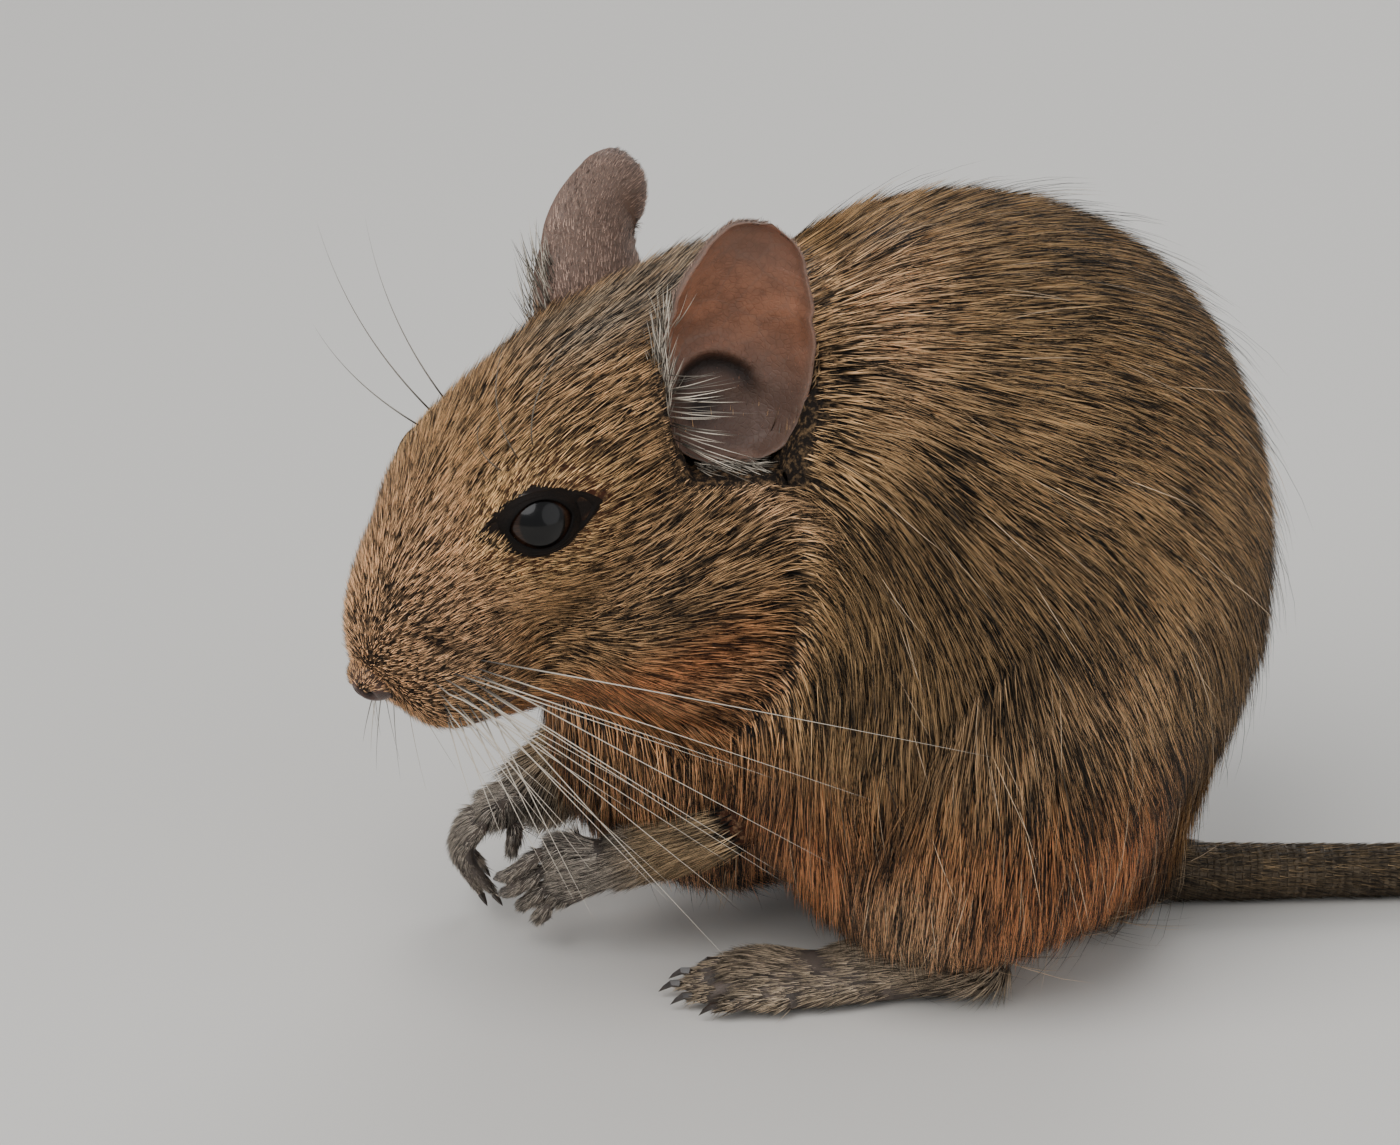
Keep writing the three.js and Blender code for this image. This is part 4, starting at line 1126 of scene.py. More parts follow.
def eye_axes(s):
    """The middle of an eye and three directions of the animal: where it looks, back along its long
    axis, and up across it."""
    look = unit(with_head(on_side(EYE_AXIS, s)))
    long_way = with_head(on_side(EYE_LONG_WAY, s))
    long_way = unit(long_way - look * (long_way @ look))
    tall = np.cross(look, long_way) * -s
    return in_head(on_side(EYE_AT, s)), look, long_way, tall * np.sign(tall @ with_head((0, 0, 1.0)))


def almond(turn, front, rear, high, low, point=1.35):
    """Outline of an eye at an angle from its rear corner: an ellipse whose halves differ, narrowed to the
    corners by |sin|^point. Returns places along the long axis and across it."""
    c, n = np.cos(turn), np.sin(turn)
    across = np.where(n > 0, high, low) * np.sign(n) * np.abs(n) ** point
    return np.where(c > 0, rear, front) * c, across


def around_eye(points, s):
    """How far a point lies from an eye in the plane of its lids, with 1 on the outline of the bare skin."""
    middle, look, long_way, tall = eye_axes(s)
    q = points - middle
    x, y, depth = q @ long_way, q @ tall, q @ look
    bare = (np.abs(x / np.where(x > 0, 7.0, 6.4)) ** 1.3
            + np.abs(y / np.where(y > 0, 2.7, 2.8)) ** 1.3) ** (1 / 1.3)
    return np.where(depth > -4.0, bare, 9.0)


@functools.cache
def ear_curve(side, s, count):
    """The middle line of an ear, its slopes and the two directions of its cup at each step."""
    line = spline([in_head(on_side(p, s)) for p in EAR_LINES[side]], count)
    along = slopes(line)
    out = with_head(on_side(EAR_OPEN, s))
    out = unit(out - along * (along @ out)[:, None])
    return line, along, out, np.cross(out, along) * s


def ear_room(points):
    """The hollow that each ear's cup keeps clear of flesh, in the frame of the nearest step of its middle
    line: no wider than the ear, from the back of its sheet to 9 mm before it. Negative inside."""
    flat = points.reshape(-1, 3)
    room = np.full(len(flat), 50.0)
    for side, s in SIDES:
        line, along, out, wide = ear_curve(side, s, 41)
        close = np.flatnonzero(norm(flat - line[18]) < 25)
        q = flat[close]
        k = ((q ** 2).sum(1)[:, None] - 2 * q @ line.T + (line ** 2).sum(1)).argmin(axis=1)
        r = q - line[k]
        x, y, z = (r * wide[k]).sum(1), (r * along[k]).sum(1), (r * out[k]).sum(1)
        half = up_ear(k / 40, EAR_HALF) + 0.2
        deep = up_ear(k / 40, EAR_DEEP)
        behind = -z - deep * np.clip(1 - (x / half) ** 2, 0, 1) - 1.7
        ends = np.where(k == 0, -y - 0.6, np.where(k == 40, y, -9.0))
        inside = np.maximum.reduce((np.abs(x) - half, behind, z - 9.0, ends))
        room[close] = np.minimum(room[close], inside)
    return room.reshape(points.shape[:-1])


def bare_places(points):
    """True where no coat grows: on the lids, on the nose and in the mouth."""
    q = head_view(points)
    bare = np.zeros(len(points), bool)
    for _, s in SIDES:
        bare |= around_eye(points, s) < 1.0
    nose = norm((q - NOSE_AT - (0.8, 0, -0.5)) / (2.6, 2.4, 2.2))
    bare |= nose < 1.0
    mouth = (q[:, 0] > 24) & (np.abs(q[:, 2] - mouth_height(q[:, 0])) < 0.28)
    return bare | mouth


def mouth_height(a):
    """The mouth's line seen from the side: level under the lip, then rising towards its corner."""
    return np.interp(a, (22, 25, 28, 32, 38, 48), (-7.4, -7.8, -8.8, -9.8, -10.3, -10.5))


def skin_grids():
    """The skin of head and trunk as two closed grids, moved on to their common surface near the neck."""
    crown = with_head((0, 0, 1.0))
    head = drawn_over(lambda p: carved(HEAD_FLESH, p),
                      [in_head(p) for p in ((-8, 0, 1), (14, 0, 0), (36, 0, -3))],
                      104, 132, 45, crown)
    trunk = drawn_over(lambda p: carved(TRUNK_FLESH, p), ((8, 0, 60), (16, 0, 44), (22, 0, 26)),
                       96, 128, 70, (-1, 0, 0))
    grids = []
    for first, rows, last in (head, trunk):
        verts, quads, tris, place = closed(first, rows, last)
        depth = skin_field(verts)
        goal = settled(skin_field, verts)
        verts = mix(verts, goal, ease(-5.0, -2.6, depth)[:, None])
        grids.append((verts, quads, tris, place))
    return grids


def arm_form(side):
    """The foreleg's skin from inside the elbow's fur to the wrist."""
    arm = ARMS[side]
    elbow, wrist = np.array(arm["elbow"], float), np.array(arm["wrist"], float)
    reach = unit(wrist - elbow)
    line = (elbow - reach * 2, mix(elbow, wrist, 0.5), wrist + reach * 1.2)
    thick, slim = (5.0, 2.6) if side == "left" else (6.2, 3.2)
    return closed(*tube(line, lambda t: mix(thick, slim, t ** 0.8), 40, 40, 0.12))


class DEGU_OT_skin(bpy.types.Operator):
    """Skin of head, trunk and forelegs, which lies under the coat"""
    bl_idname = "degu.skin"
    bl_label = "Skin"

    def execute(self, context):
        """Joins the drawn grids of head, trunk and forelegs, and colours them with the coat's marks and their
        painted light, which fade to the lids' colour inside the outline of the bare skin round each eye."""
        tone = context.scene.degu_colours
        forms = skin_grids() + [arm_form(side) for side, _ in SIDES]
        verts, quads, tris, place = joined(forms)
        kept_up(verts)
        under, band = markings_and_painted_light(verts)
        count = [len(f[0]) for f in forms]
        arms = np.arange(len(verts)) >= count[0] + count[1]
        band[arms] = mix(band[arms], linear(tone.paw_band), 0.7)
        for _, s in SIDES:
            bare = ease(1.15, 0.95, around_eye(verts, s))[:, None]
            under, band = mix(under, linear(tone.lid), bare), mix(band, linear(tone.lid), bare)
        piece = made_mesh("skin", verts, quads, tris, {"under": under, "band": band},
                          np.vstack([corner_places(place, f).reshape(-1, 2) for f in (quads, tris)]))
        placed(piece, underfur_material(), "coat", FLESH)
        return {"FINISHED"}


def coat_roots(grid, count, seed, weight):
    """Roots on the skin with their unwrap, normals and lie, without those that are buried or bare."""
    roots, uv = scattered(grid, count, weight, seed)
    keep = skin_field(roots) > -3.2
    roots, uv = roots[keep], uv[keep]
    roots = settled(skin_field, roots, 4)
    normals = unit(uphill(skin_field, roots))
    keep = (np.abs(skin_field(roots)) < 0.2) & (roots[:, 2] > 0.25)
    keep &= (ear_room(roots) > 0.5) & ~bare_places(roots)
    return roots[keep], uv[keep], normals[keep]


def coat_regions(head, points):
    """Splits roots into pieces: by side, and by place along and up the body."""
    x, y, z = points.T
    if head:
        a, b, up = head_view(points).T
        names = np.where(a > 22, "muzzle", np.where(up > 3, "crown", "cheek"))
        side = np.where(b > 0, "left", "right")
    else:
        front, rear = x < 6, x > 26
        names = np.where(front, np.where(z > 48, "shoulder", "chest"),
                         np.where(rear, np.where(z > 40, "rump", "haunch"),
                                  np.where(z > 50, "back", "flank")))
        side = np.where(y < 0, "left", "right")
    full = np.char.add(np.char.add(names, "_"), side)
    return [(str(name), full == name) for name in np.unique(full)]


class DEGU_OT_coat(bpy.types.Operator):
    """The coat of mesh tufts over head and trunk"""
    bl_idname = "degu.coat"
    bl_label = "Coat"

    def execute(self, context):
        """Sets tufts on the skin of head and trunk, in pieces by region, then the long guard hairs."""
        coat = context.scene.degu_coat
        width = coat.width * METRE
        for index, grid in enumerate(skin_grids()):
            is_head = index == 0
            count = coat.head if is_head else coat.trunk
            roots, uv, normals = coat_roots(
                grid, count, 21 + index, lambda p: 1.0 + is_head * 2.2 * ease(14, 34, head_view(p)[:, 0]))
            long = coat_length(roots)
            under, band = markings_and_painted_light(roots)
            lie = coat_lie(roots, normals)
            slim = width * np.clip(long / 6.5, 0.55, 1.0)
            reach = 0.9 * long[:, None] * lie
            sunk = np.clip(0.3 - skin_field(roots + reach), 0, 3) / long
            rise = self.rise(roots, is_head) + 2.2 * np.minimum(sunk, 0.3)
            out = (0.05 + 0.45 * rise)[:, None] * normals
            crossing = ear_room(roots + long[:, None] * (0.97 * lie + out)) < 0.3
            long = np.where(crossing, 0.45 * long, long)
            keep = ear_room(roots + long[:, None] * (0.97 * lie + out)) > 0.2
            roots, uv, normals, long, under, band, lie, slim, rise = (
                a[keep] for a in (roots, uv, normals, long, under, band, lie, slim, rise))
            for k, (name, mask) in enumerate(coat_regions(is_head, roots)):
                tuft_piece("coat_" + name, *(a[mask] for a in (roots, uv, normals, lie, long, under, band)),
                           100 + 10 * index + k, slim[mask], rise[mask], segments=1, **COAT_STYLES[index])
            if not is_head:
                self.guard_hairs(context, grid)
        return {"FINISHED"}

    def rise(self, roots, is_head):
        """How far the tufts stand off the skin: low on the face, higher on the whisker pads and the trunk."""
        if not is_head:
            return np.full(len(roots), 0.22)
        q = head_view(roots)
        pad = norm((q - on_own_side((38.5, 4.5, -5.0), q)) / (4, 3, 3.2))
        return 0.15 + 0.3 * bell(pad)

    def guard_hairs(self, context, grid):
        """Sparse long hairs: pale over haunch and flank, black along back and rump."""
        tone = context.scene.degu_colours
        roots, uv, normals = coat_roots(grid, context.scene.degu_coat.guard, 31,
                                        lambda p: 0.4 + ease(-4, 20, p[:, 0]))
        lie = coat_lie(roots, normals)
        draw = np.random.default_rng(5)
        pale = draw.random(len(roots)) < np.interp(roots[:, 2], (8, 30, 60, 78), (0.75, 0.45, 0.2, 0.15))
        band = np.where(pale[:, None], linear(tone.guard), linear(tone.tip) * 1.5)
        under = np.where(pale[:, None], linear(tone.back_band) * 0.8, linear(tone.tip))
        tuft_piece("guard_hairs", roots, uv, normals, lie, 11.5, under, band, 33, 0.1, 0.22, clump=0.0,
                   segments=4, wild=0.2, tip_dark=0.0)


class DEGU_OT_eyes(bpy.types.Operator):
    """Eyeballs with iris and pupil, and the bare lids round them"""
    bl_idname = "degu.eyes"
    bl_label = "Eyes"

    def execute(self, context):
        """Each ball is a sphere round its looking axis whose front swells into a cornea. Each pair of lids
        is a ring that rises from the skin on to the ball and turns in under itself."""
        radius = context.scene.degu_body.eye * METRE
        for side, s in SIDES:
            middle, look, long_way, tall = eye_axes(s)
            polar = np.pi * np.arange(1, 72) / 72
            p, t = np.meshgrid(polar, turns(96), indexing="ij")
            swell = radius + 0.22 * bell(p / 0.55)
            ring = (np.sin(p) * np.cos(t))[..., None] * long_way + (np.sin(p) * np.sin(t))[..., None] * tall
            rows = middle + swell[..., None] * (ring + np.cos(p)[..., None] * look)
            verts, quads, tris, _ = closed(middle + look * (radius + 0.22), rows, middle - look * radius)
            polar_all, turn_all = with_ends(p, 0, np.pi), with_ends(t)
            off = np.sin(polar_all)
            pupil = np.hypot(off * np.cos(turn_all) / 0.52, off * np.sin(turn_all) / 0.56)
            ball = made_mesh("eyeball_" + side, verts, quads, tris, {
                "out": np.clip(off * radius / 3.75, 0, 1),
                "pupil": ease(1.06, 0.94, pupil) * (polar_all < 1.5),
                "turn": np.cos(turn_all) + 1.3 * np.sin(turn_all)})
            placed(ball, eye_material(), "eye", ("eye_" + side,))
            self.lids(context, side, s, radius)
        return {"FINISHED"}

    def lids(self, context, side, s, radius):
        """Row k of the ring lies between the opening and the outline of the bare skin, at the height of the
        ball near the one and of the skin at the other, raised in fine folds; further rows turn under."""
        middle, look, long_way, tall = eye_axes(s)
        turn = turns(120)
        open_x, open_y = almond(turn, 3.5, 3.4, 2.6, 2.7)
        wide_x, wide_y = almond(turn, 7.3, 7.9, 3.3, 3.4, 1.8)
        steps = np.linspace(0, 1, 22)[:, None]
        x, y = mix(open_x, wide_x, steps), mix(open_y, wide_y, steps)
        flat = middle + x[..., None] * long_way + y[..., None] * tall
        far = halved(skin_field, flat, look, np.full(x.shape, -6.0), np.full(x.shape, 8.0), 16)
        on_skin = far + mix(0.25, -0.15, ease(0.7, 1.0, steps))
        beside = np.hypot(x, y)
        over_ball = np.sqrt(np.maximum((radius + 0.42) ** 2 - beside ** 2, 0))
        rise = mix(over_ball, on_skin, ease(0.0, 0.75, steps))
        rise = np.where(beside < radius + 0.3, np.maximum(rise, over_ball), rise)
        fold = 0.045 * np.sin(steps * 14 + 1.2 * np.sin(turn * 2))
        fold = fold * ease(0.1, 0.3, steps) * ease(1.0, 0.8, steps)
        top = flat + (rise + fold)[..., None] * look
        inner = middle + 0.965 * (open_x[:, None] * long_way + open_y[:, None] * tall)
        lip, below = (
            inner + np.sqrt(np.maximum(r ** 2 - 0.93 * (open_x ** 2 + open_y ** 2), 0))[:, None] * look
            for r in (radius + 0.12, radius - 0.5))
        under = top[-1] - look * 1.6
        rows = np.concatenate((below[None], lip[None], top, under[None]))
        n, m = rows.shape[:2]
        at = np.arange(n)[:, None] * m + np.arange(m)[None]
        down, right = np.roll(at, -1, axis=0), np.roll(at, -1, axis=1)
        quads = np.stack((at, right, np.roll(down, -1, axis=1), down), axis=-1).reshape(-1, 4)
        verts = rows.reshape(-1, 3)
        if volume_of(verts, quads, np.empty((0, 3), int)) < 0:
            quads = quads[:, ::-1]
        share = np.concatenate(((0, 0), steps[:, 0], (1,)))
        # Painted shade where the lids turn in against the ball, darkest at the opening.
        dark = np.repeat(1 - ease(0.0, 0.22, share), m) * 0.8
        piece = made_mesh("eyelids_" + side, verts, quads, attributes={"shade": dark})
        lid = context.scene.degu_colours.lid
        skin = bare_material("Degu lids", lid, np.array(lid) * 0.6, 2600.0, 0.7, 0.00006, 0.0, 0.15)
        placed(piece, skin, "bare_skin")


def ear_arch(v):
    """How far up the ear the ridge over its hollow runs, at a place v across it."""
    return 0.43 - 0.10 * ((v - 0.17) / 0.48) ** 2


def ear_back(a):
    """How far back the sheet lies at an angle of its bend: 1 in the middle and 0 at the rims."""
    return (np.cos(a) - math.cos(EAR_BEND)) / (1 - math.cos(EAR_BEND))


class DEGU_OT_ears(bpy.types.Operator):
    """Ears with folds in the cup, short hair on the back and a white fan at the front"""
    bl_idname = "degu.ears"
    bl_label = "Ears"

    def execute(self, context):
        """An ear is a sheet bent round its middle line into a cup: across it, v = -cos w runs from the
        front rim to the rear one on the back of the sheet and returns on its inside."""
        thick = context.scene.degu_body.ear * METRE
        for side, s in SIDES:
            rows, t, v, inside = self.sheet(side, s, thick)
            foot = in_head(on_side(EAR_LINES[side][0], s)) - ear_curve(side, s, 2)[1][0] * 1.2
            tip = rows[-1].mean(axis=0) + unit(rows[-1].mean(axis=0) - rows[-4].mean(axis=0)) * 0.5
            verts, quads, tris, _ = closed(foot, rows, tip)
            t, v, inside = with_ends(t, 0, 1), with_ends(v), with_ends(inside)
            # Painted shadow under the ridge over the hollow, and painted shade in the canal, both carried by
            # the attribute shade.
            ridge_shadow = bell((t - ear_arch(v) + 0.075) / 0.06) * ease(0.6, 0.35, np.abs(v - 0.17))
            canal_shade = bell((t - 0.17) / 0.07, (v - 0.3) / 0.28)
            rim = np.maximum(ease(0.86, 1.0, np.abs(v)) * 0.6, 1 - inside)
            piece = made_mesh("ear_cup_" + side, verts, quads, tris, {
                "lower": np.maximum(ease(0.62, 0.2, t), 0.5 * ease(0.6, 0.95, t)) * inside, "rim": rim,
                "shade": np.clip(0.97 * ridge_shadow + canal_shade, 0, 1) * inside})
            placed(piece, ear_material(), "bare_skin", ("ear_" + side,))
            self.hair(context, side, s, rows)
        return {"FINISHED"}

    def sheet(self, side, s, thick):
        """Rows of the sheet, with each point's share up the ear, its place across and 1 if inside."""
        steps, around = 72, 72
        line, _, out, wide = ear_curve(side, s, steps + 1)
        t = np.linspace(0, 1, steps + 1)
        half = up_ear(t, EAR_HALF)
        end = np.sqrt(1 - np.linspace(0, 0.985, 13) ** 2)
        half[-13:] = np.minimum(half[-13:] * 1.04, half[-13] * end)
        half *= 1 - 0.05 * bell((t - 0.62) / 0.04)
        half[:7] *= np.sqrt(1 - 0.75 * np.linspace(1, 0, 7) ** 2)
        deep = up_ear(t, EAR_DEEP)
        deep[-13:] = deep[-13] * end
        w = 2 * np.pi * (np.arange(around) + 0.5) / around
        v = -np.cos(w)
        inside = np.broadcast_to(w > np.pi, (steps + 1, around)).astype(float)
        off = thick * (0.5 + 0.5 * np.sign(np.sin(w)) * np.abs(np.sin(w)) ** 0.35)
        a = v * EAR_BEND
        back = ear_back(a)
        tt, vv = t[:, None], v[None]
        ridge = 1.3 * bell((tt - ear_arch(vv)) / 0.04) * ease(0.68, 0.4, np.abs(vv - 0.17))
        lower = 0.35 * bell((tt - 0.26 + 0.05 * vv) / 0.05) * ease(0.6, 0.2, np.abs(vv + 0.1))
        roll = 0.5 * ease(0.9, 1.0, np.abs(vv)) * ease(0.25, 0.5, tt)
        ripple = 0.12 * np.sin(7.0 * tt + 3.1 * vv) + 0.07 * np.sin(17.0 * tt - 5.0 * vv)
        lift = (ridge + lower + ripple) * inside + roll
        slim = np.where(vv > 0, np.interp(tt, (0, 0.55, 0.75, 0.9, 1), (1, 1, 0.94, 0.82, 0.75)), 1.0)
        x = slim * (half[:, None] * np.sin(a) / math.sin(EAR_BEND) + off * np.sin(a))
        z = -deep[:, None] * back - off * np.cos(a) + lift
        rows = line[:, None] + x[..., None] * wide[:, None] + z[..., None] * out[:, None]
        return [a[1:] for a in (rows, *np.broadcast_arrays(tt, vv, inside))]

    def hair(self, context, side, s, rows):
        """Short grey-brown hair on the back and the rim, sparse pale down inside, and a fan of white
        hairs that grows from the front edge across the foot of the cup."""
        tone = context.scene.degu_colours
        draw = np.random.default_rng(60 + int(s))
        self.down(side, rows, draw, tone)
        self.root_hair(side, s, draw, tone)
        line, along, out, wide = ear_curve(side, s, 101)

        def at(t, across, off):
            """Places, and the ear's own directions, at shares up and across the cup."""
            k = (np.clip(t, 0, 1) * 100).astype(int)
            half = up_ear(t, EAR_HALF)
            places = line[k] + (half * across)[:, None] * wide[k] + off[:, None] * out[k]
            return places, along[k], out[k], wide[k]

        def spray(name, t, across, off, ways, long, width, colour, seed, wild):
            """One bunch of pale hairs that leave the ear along its own directions."""
            roots, a, o, w = at(t, across, off)
            lie = unit(ways[:, :1] * w + ways[:, 1:2] * a + ways[:, 2:] * o)
            tint = np.broadcast_to(colour, roots.shape) * draw.uniform(0.75, 1.1, (len(roots), 1))
            tuft_piece(name + side, roots, np.stack((t, (across + 1.2) / 3), axis=1), laid(o, lie), lie, long,
                       tint * 0.6, tint, seed, width, 0.08, clump=0.0, segments=3, wild=wild, tip_dark=0.0)

        count = TUFTS["fan"]
        t = np.linspace(0.08, 0.38, count) + draw.normal(size=count) * 0.01
        turn = np.interp(t, (0.08, 0.22, 0.38), (-0.35, 0.1, 0.5)) + draw.normal(size=count) * 0.08
        spray("ear_fan_", t, 0.98 + draw.normal(size=count) * 0.05, draw.uniform(0.2, 1.4, count),
              np.stack((-np.ones(count), turn, draw.uniform(0.2, 0.45, count)), axis=1),
              draw.uniform(5.0, 8.5, count), 0.15, linear(tone.ear_hair), 62, 0.03)
        count = TUFTS["front"]
        t = draw.uniform(0.2, 0.58, count)
        spray("ear_front_", t, 1.06 + draw.normal(size=count) * 0.05, draw.uniform(-2.0, 1.0, count),
              np.stack((draw.uniform(-0.15, 0.3, count), np.ones(count), draw.uniform(-0.1, 0.3, count)),
                       axis=1),
              draw.uniform(3.0, 5.5, count), 0.13, linear(tone.ear_hair) * 0.7, 63, 0.12)
        count = TUFTS["notch"]
        spray("ear_notch_", np.full(count, 0.0), draw.uniform(-0.5, 0.9, count),
              draw.uniform(-0.6, 1.6, count),
              np.stack((-np.ones(count), draw.uniform(-0.35, 0.1, count), draw.uniform(0.1, 0.4, count)),
                       axis=1),
              draw.uniform(2.2, 4.0, count), 0.12, linear(tone.ear_hair) * 0.7, 64, 0.12)

    def down(self, side, rows, draw, tone):
        """Sleek short hair on the back of the ear and sparse fine down inside."""
        n, m = rows.shape[:2]
        count = TUFTS["ear"]
        i, j = draw.uniform(0, n - 1.001, count), draw.uniform(0, m - 0.001, count)
        keep = ((j > 0.055 * m) & (j < 0.445 * m)) | ((j > m / 2) & (draw.random(count) < 0.05))
        i, j = i[keep], j[keep]
        inner = j > m / 2
        i0, j0 = i.astype(int), j.astype(int)
        fi, fj = (i - i0)[:, None], (j - j0)[:, None]
        j1 = (j0 + 1) % m
        low, high = mix(rows[i0, j0], rows[i0, j1], fj), mix(rows[i0 + 1, j0], rows[i0 + 1, j1], fj)
        roots = mix(low, high, fi)
        normals = unit(np.cross(rows[i0, j1] - rows[i0, j0], high - low))
        core = 0.5 * (rows[i0, j0] + rows[i0, (m - 1 - j0) % m])
        normals = np.where((((roots - core) * normals).sum(1) < 0)[:, None], -normals, normals)
        rear = unit(roots - rows.mean(axis=1)[i0])
        way = unit(high - low) + 0.35 * rear
        lie = laid(way, normals)
        long = np.where(inner, 0.6, 1.0) * mix(1.7, 1.0, i / n)
        under = np.where(inner[:, None], linear(tone.ear_inner), linear(tone.ear_rim))
        band = np.where(inner[:, None], linear(tone.ear_inner) * 1.15, linear(tone.ear_back))
        tuft_piece("ear_down_" + side, roots, np.stack((j / m, i / n), axis=1), normals, lie, long,
                   under, band, 61, np.where(inner, 0.05, 0.11), 0.2, clump=0.0, segments=1, tip_dark=0.25)

    def root_hair(self, side, s, draw, tone):
        """Longer hair that climbs the back of the ear from the crown."""
        line, along, out, wide = ear_curve(side, s, 101)
        count = TUFTS["ear_root"]
        t = 0.46 * draw.random(count) ** 1.3
        k = (t * 100).astype(int)
        a = draw.uniform(-1.0, 1.0, count) * EAR_BEND
        half = up_ear(t, EAR_HALF)
        deep = up_ear(t, EAR_DEEP)
        back = ear_back(a)
        across = half * np.sin(a) / math.sin(EAR_BEND)
        thick = bpy.context.scene.degu_body.ear * METRE
        normals = unit(np.sin(a)[:, None] * wide[k] - np.cos(a)[:, None] * out[k])
        roots = line[k] + across[:, None] * wide[k] - (deep * back)[:, None] * out[k] + normals * thick
        way = along[k] + 0.2 * np.sin(a)[:, None] * wide[k]
        lie = laid(way, normals)
        under, band = markings_and_painted_light(roots)
        grey = draw.random((count, 1)) < 0.12
        band = np.where(grey, linear(tone.ear_hair) * 0.45, band)
        tuft_piece("ear_root_" + side, roots, np.stack((a / 3 + 0.5, t), axis=1), normals, lie,
                   mix(3.6, 1.3, t / 0.46), under, band, 65, 0.16, 0.6, clump=0.1, tip_dark=0.4)


def met_skin(start, way):
    """Points where rays given in the head's frame meet the skin."""
    far = halved(lambda p: skin_field(in_head(p)), start, way, np.zeros(len(start)),
                 np.full(len(start), 16.0), 20)
    return in_head(start + way * far[:, None])


class DEGU_OT_muzzle(bpy.types.Operator):
    """The bare nose with its nostrils, and the lips"""
    bl_idname = "degu.muzzle"
    bl_label = "Nose and lips"

    def execute(self, context):
        """The nose is an ellipsoid on a grid round its forward pole. Its surface sinks by Gaussian pits at
        the nostrils and by a narrow groove between them."""
        tone = context.scene.degu_colours
        p, t = np.meshgrid(np.pi * np.arange(1, 72) / 72, turns(108), indexing="ij")
        ways = np.stack((np.cos(p), np.sin(p) * np.cos(t), np.sin(p) * np.sin(t)), axis=-1)
        q = ways * NOSE_SIZE
        pit = 0
        for s in (1, -1):
            x, z = q[..., 1] * s - 1.35, q[..., 2] + 0.25
            comma = np.hypot((x + 0.35 * z) / 0.62, (z - 0.3 * x) / 1.0)
            pit = pit + np.exp(-comma ** 4) * (ways[..., 0] > 0)
        groove = bell(q[..., 1] / 0.16) * ease(0.4, -0.6, q[..., 2]) * (ways[..., 0] > 0)
        bridge = 0.25 * bell(q[..., 1] / 0.8, (q[..., 2] - 0.6) / 0.9) * (ways[..., 0] > 0)
        q = q * (1 - 0.34 * np.clip(pit, 0, 1) - 0.10 * groove + 0.05 * bridge)[..., None]
        reach = np.array((NOSE_SIZE[0], 0, 0))
        verts, quads, tris, _ = closed(NOSE_AT + reach, q + NOSE_AT, NOSE_AT - reach)
        # Painted shade in the nostrils and in the groove between them.
        dark = with_ends(np.clip(pit + 0.7 * groove, 0, 1))
        nose = made_mesh("nose_pad", in_head(verts), quads, tris, {"shade": dark})
        skin = bare_material("Degu nose", tone.nose, np.array(tone.nose) * 0.62, 3200.0, 0.42, 0.0001, 0.25)
        placed(nose, skin, "bare_skin", ("nose",))
        self.nose_hair()
        lips = []
        for height, size in ((0.28, 0.34), (-0.4, 0.4)):
            turn = np.linspace(-1, 1, 41) * 1.9
            start = np.stack((32 + 0 * turn, 0 * turn, -10 + 0 * turn), axis=1)
            way = np.stack((np.cos(turn), np.sin(turn), 0 * turn), axis=1)
            for _ in range(3):
                points = met_skin(start, way)
                start[:, 2] = mouth_height(head_view(points)[:, 0]) + height
            lips.append(closed(*tube(points, lambda u, size=size: np.full_like(u, size), 120, 12, 0.04)))
        verts, quads, tris, _ = joined(lips)
        # The lips are darkened evenly by painted shade along the line of the mouth.
        piece = made_mesh("lips", verts, quads, tris, {"shade": np.full(len(verts), 0.3)})
        placed(piece, skin, "bare_skin")
        return {"FINISHED"}

    def nose_hair(self):
        """Very short hair over the top and the sides of the nose, down to the nostrils."""
        draw = np.random.default_rng(66)
        way = unit(draw.normal(size=(TUFTS["nose"], 3)))
        keep = (way[:, 2] > mix(-0.45, -0.08, ease(0.2, 0.75, way[:, 0]))) & (way[:, 0] > -0.4)
        way = way[keep]
        roots = in_head(NOSE_AT + way * NOSE_SIZE)
        keep = skin_field(roots) > -0.4
        roots, normals = roots[keep], unit(with_head(way[keep] / NOSE_SIZE))
        back = with_head(np.array((-1.0, 0, 0.15)))
        lie = unit(back - normals * (normals @ back)[:, None])
        under, band = markings_and_painted_light(roots)
        tuft_piece("coat_nose", roots, 0.5 + 0.4 * way[keep][:, 1:], normals, lie, 1.15, under, band,
                   67, 0.13, 0.2, clump=0.0, segments=1, tip_dark=0.7)


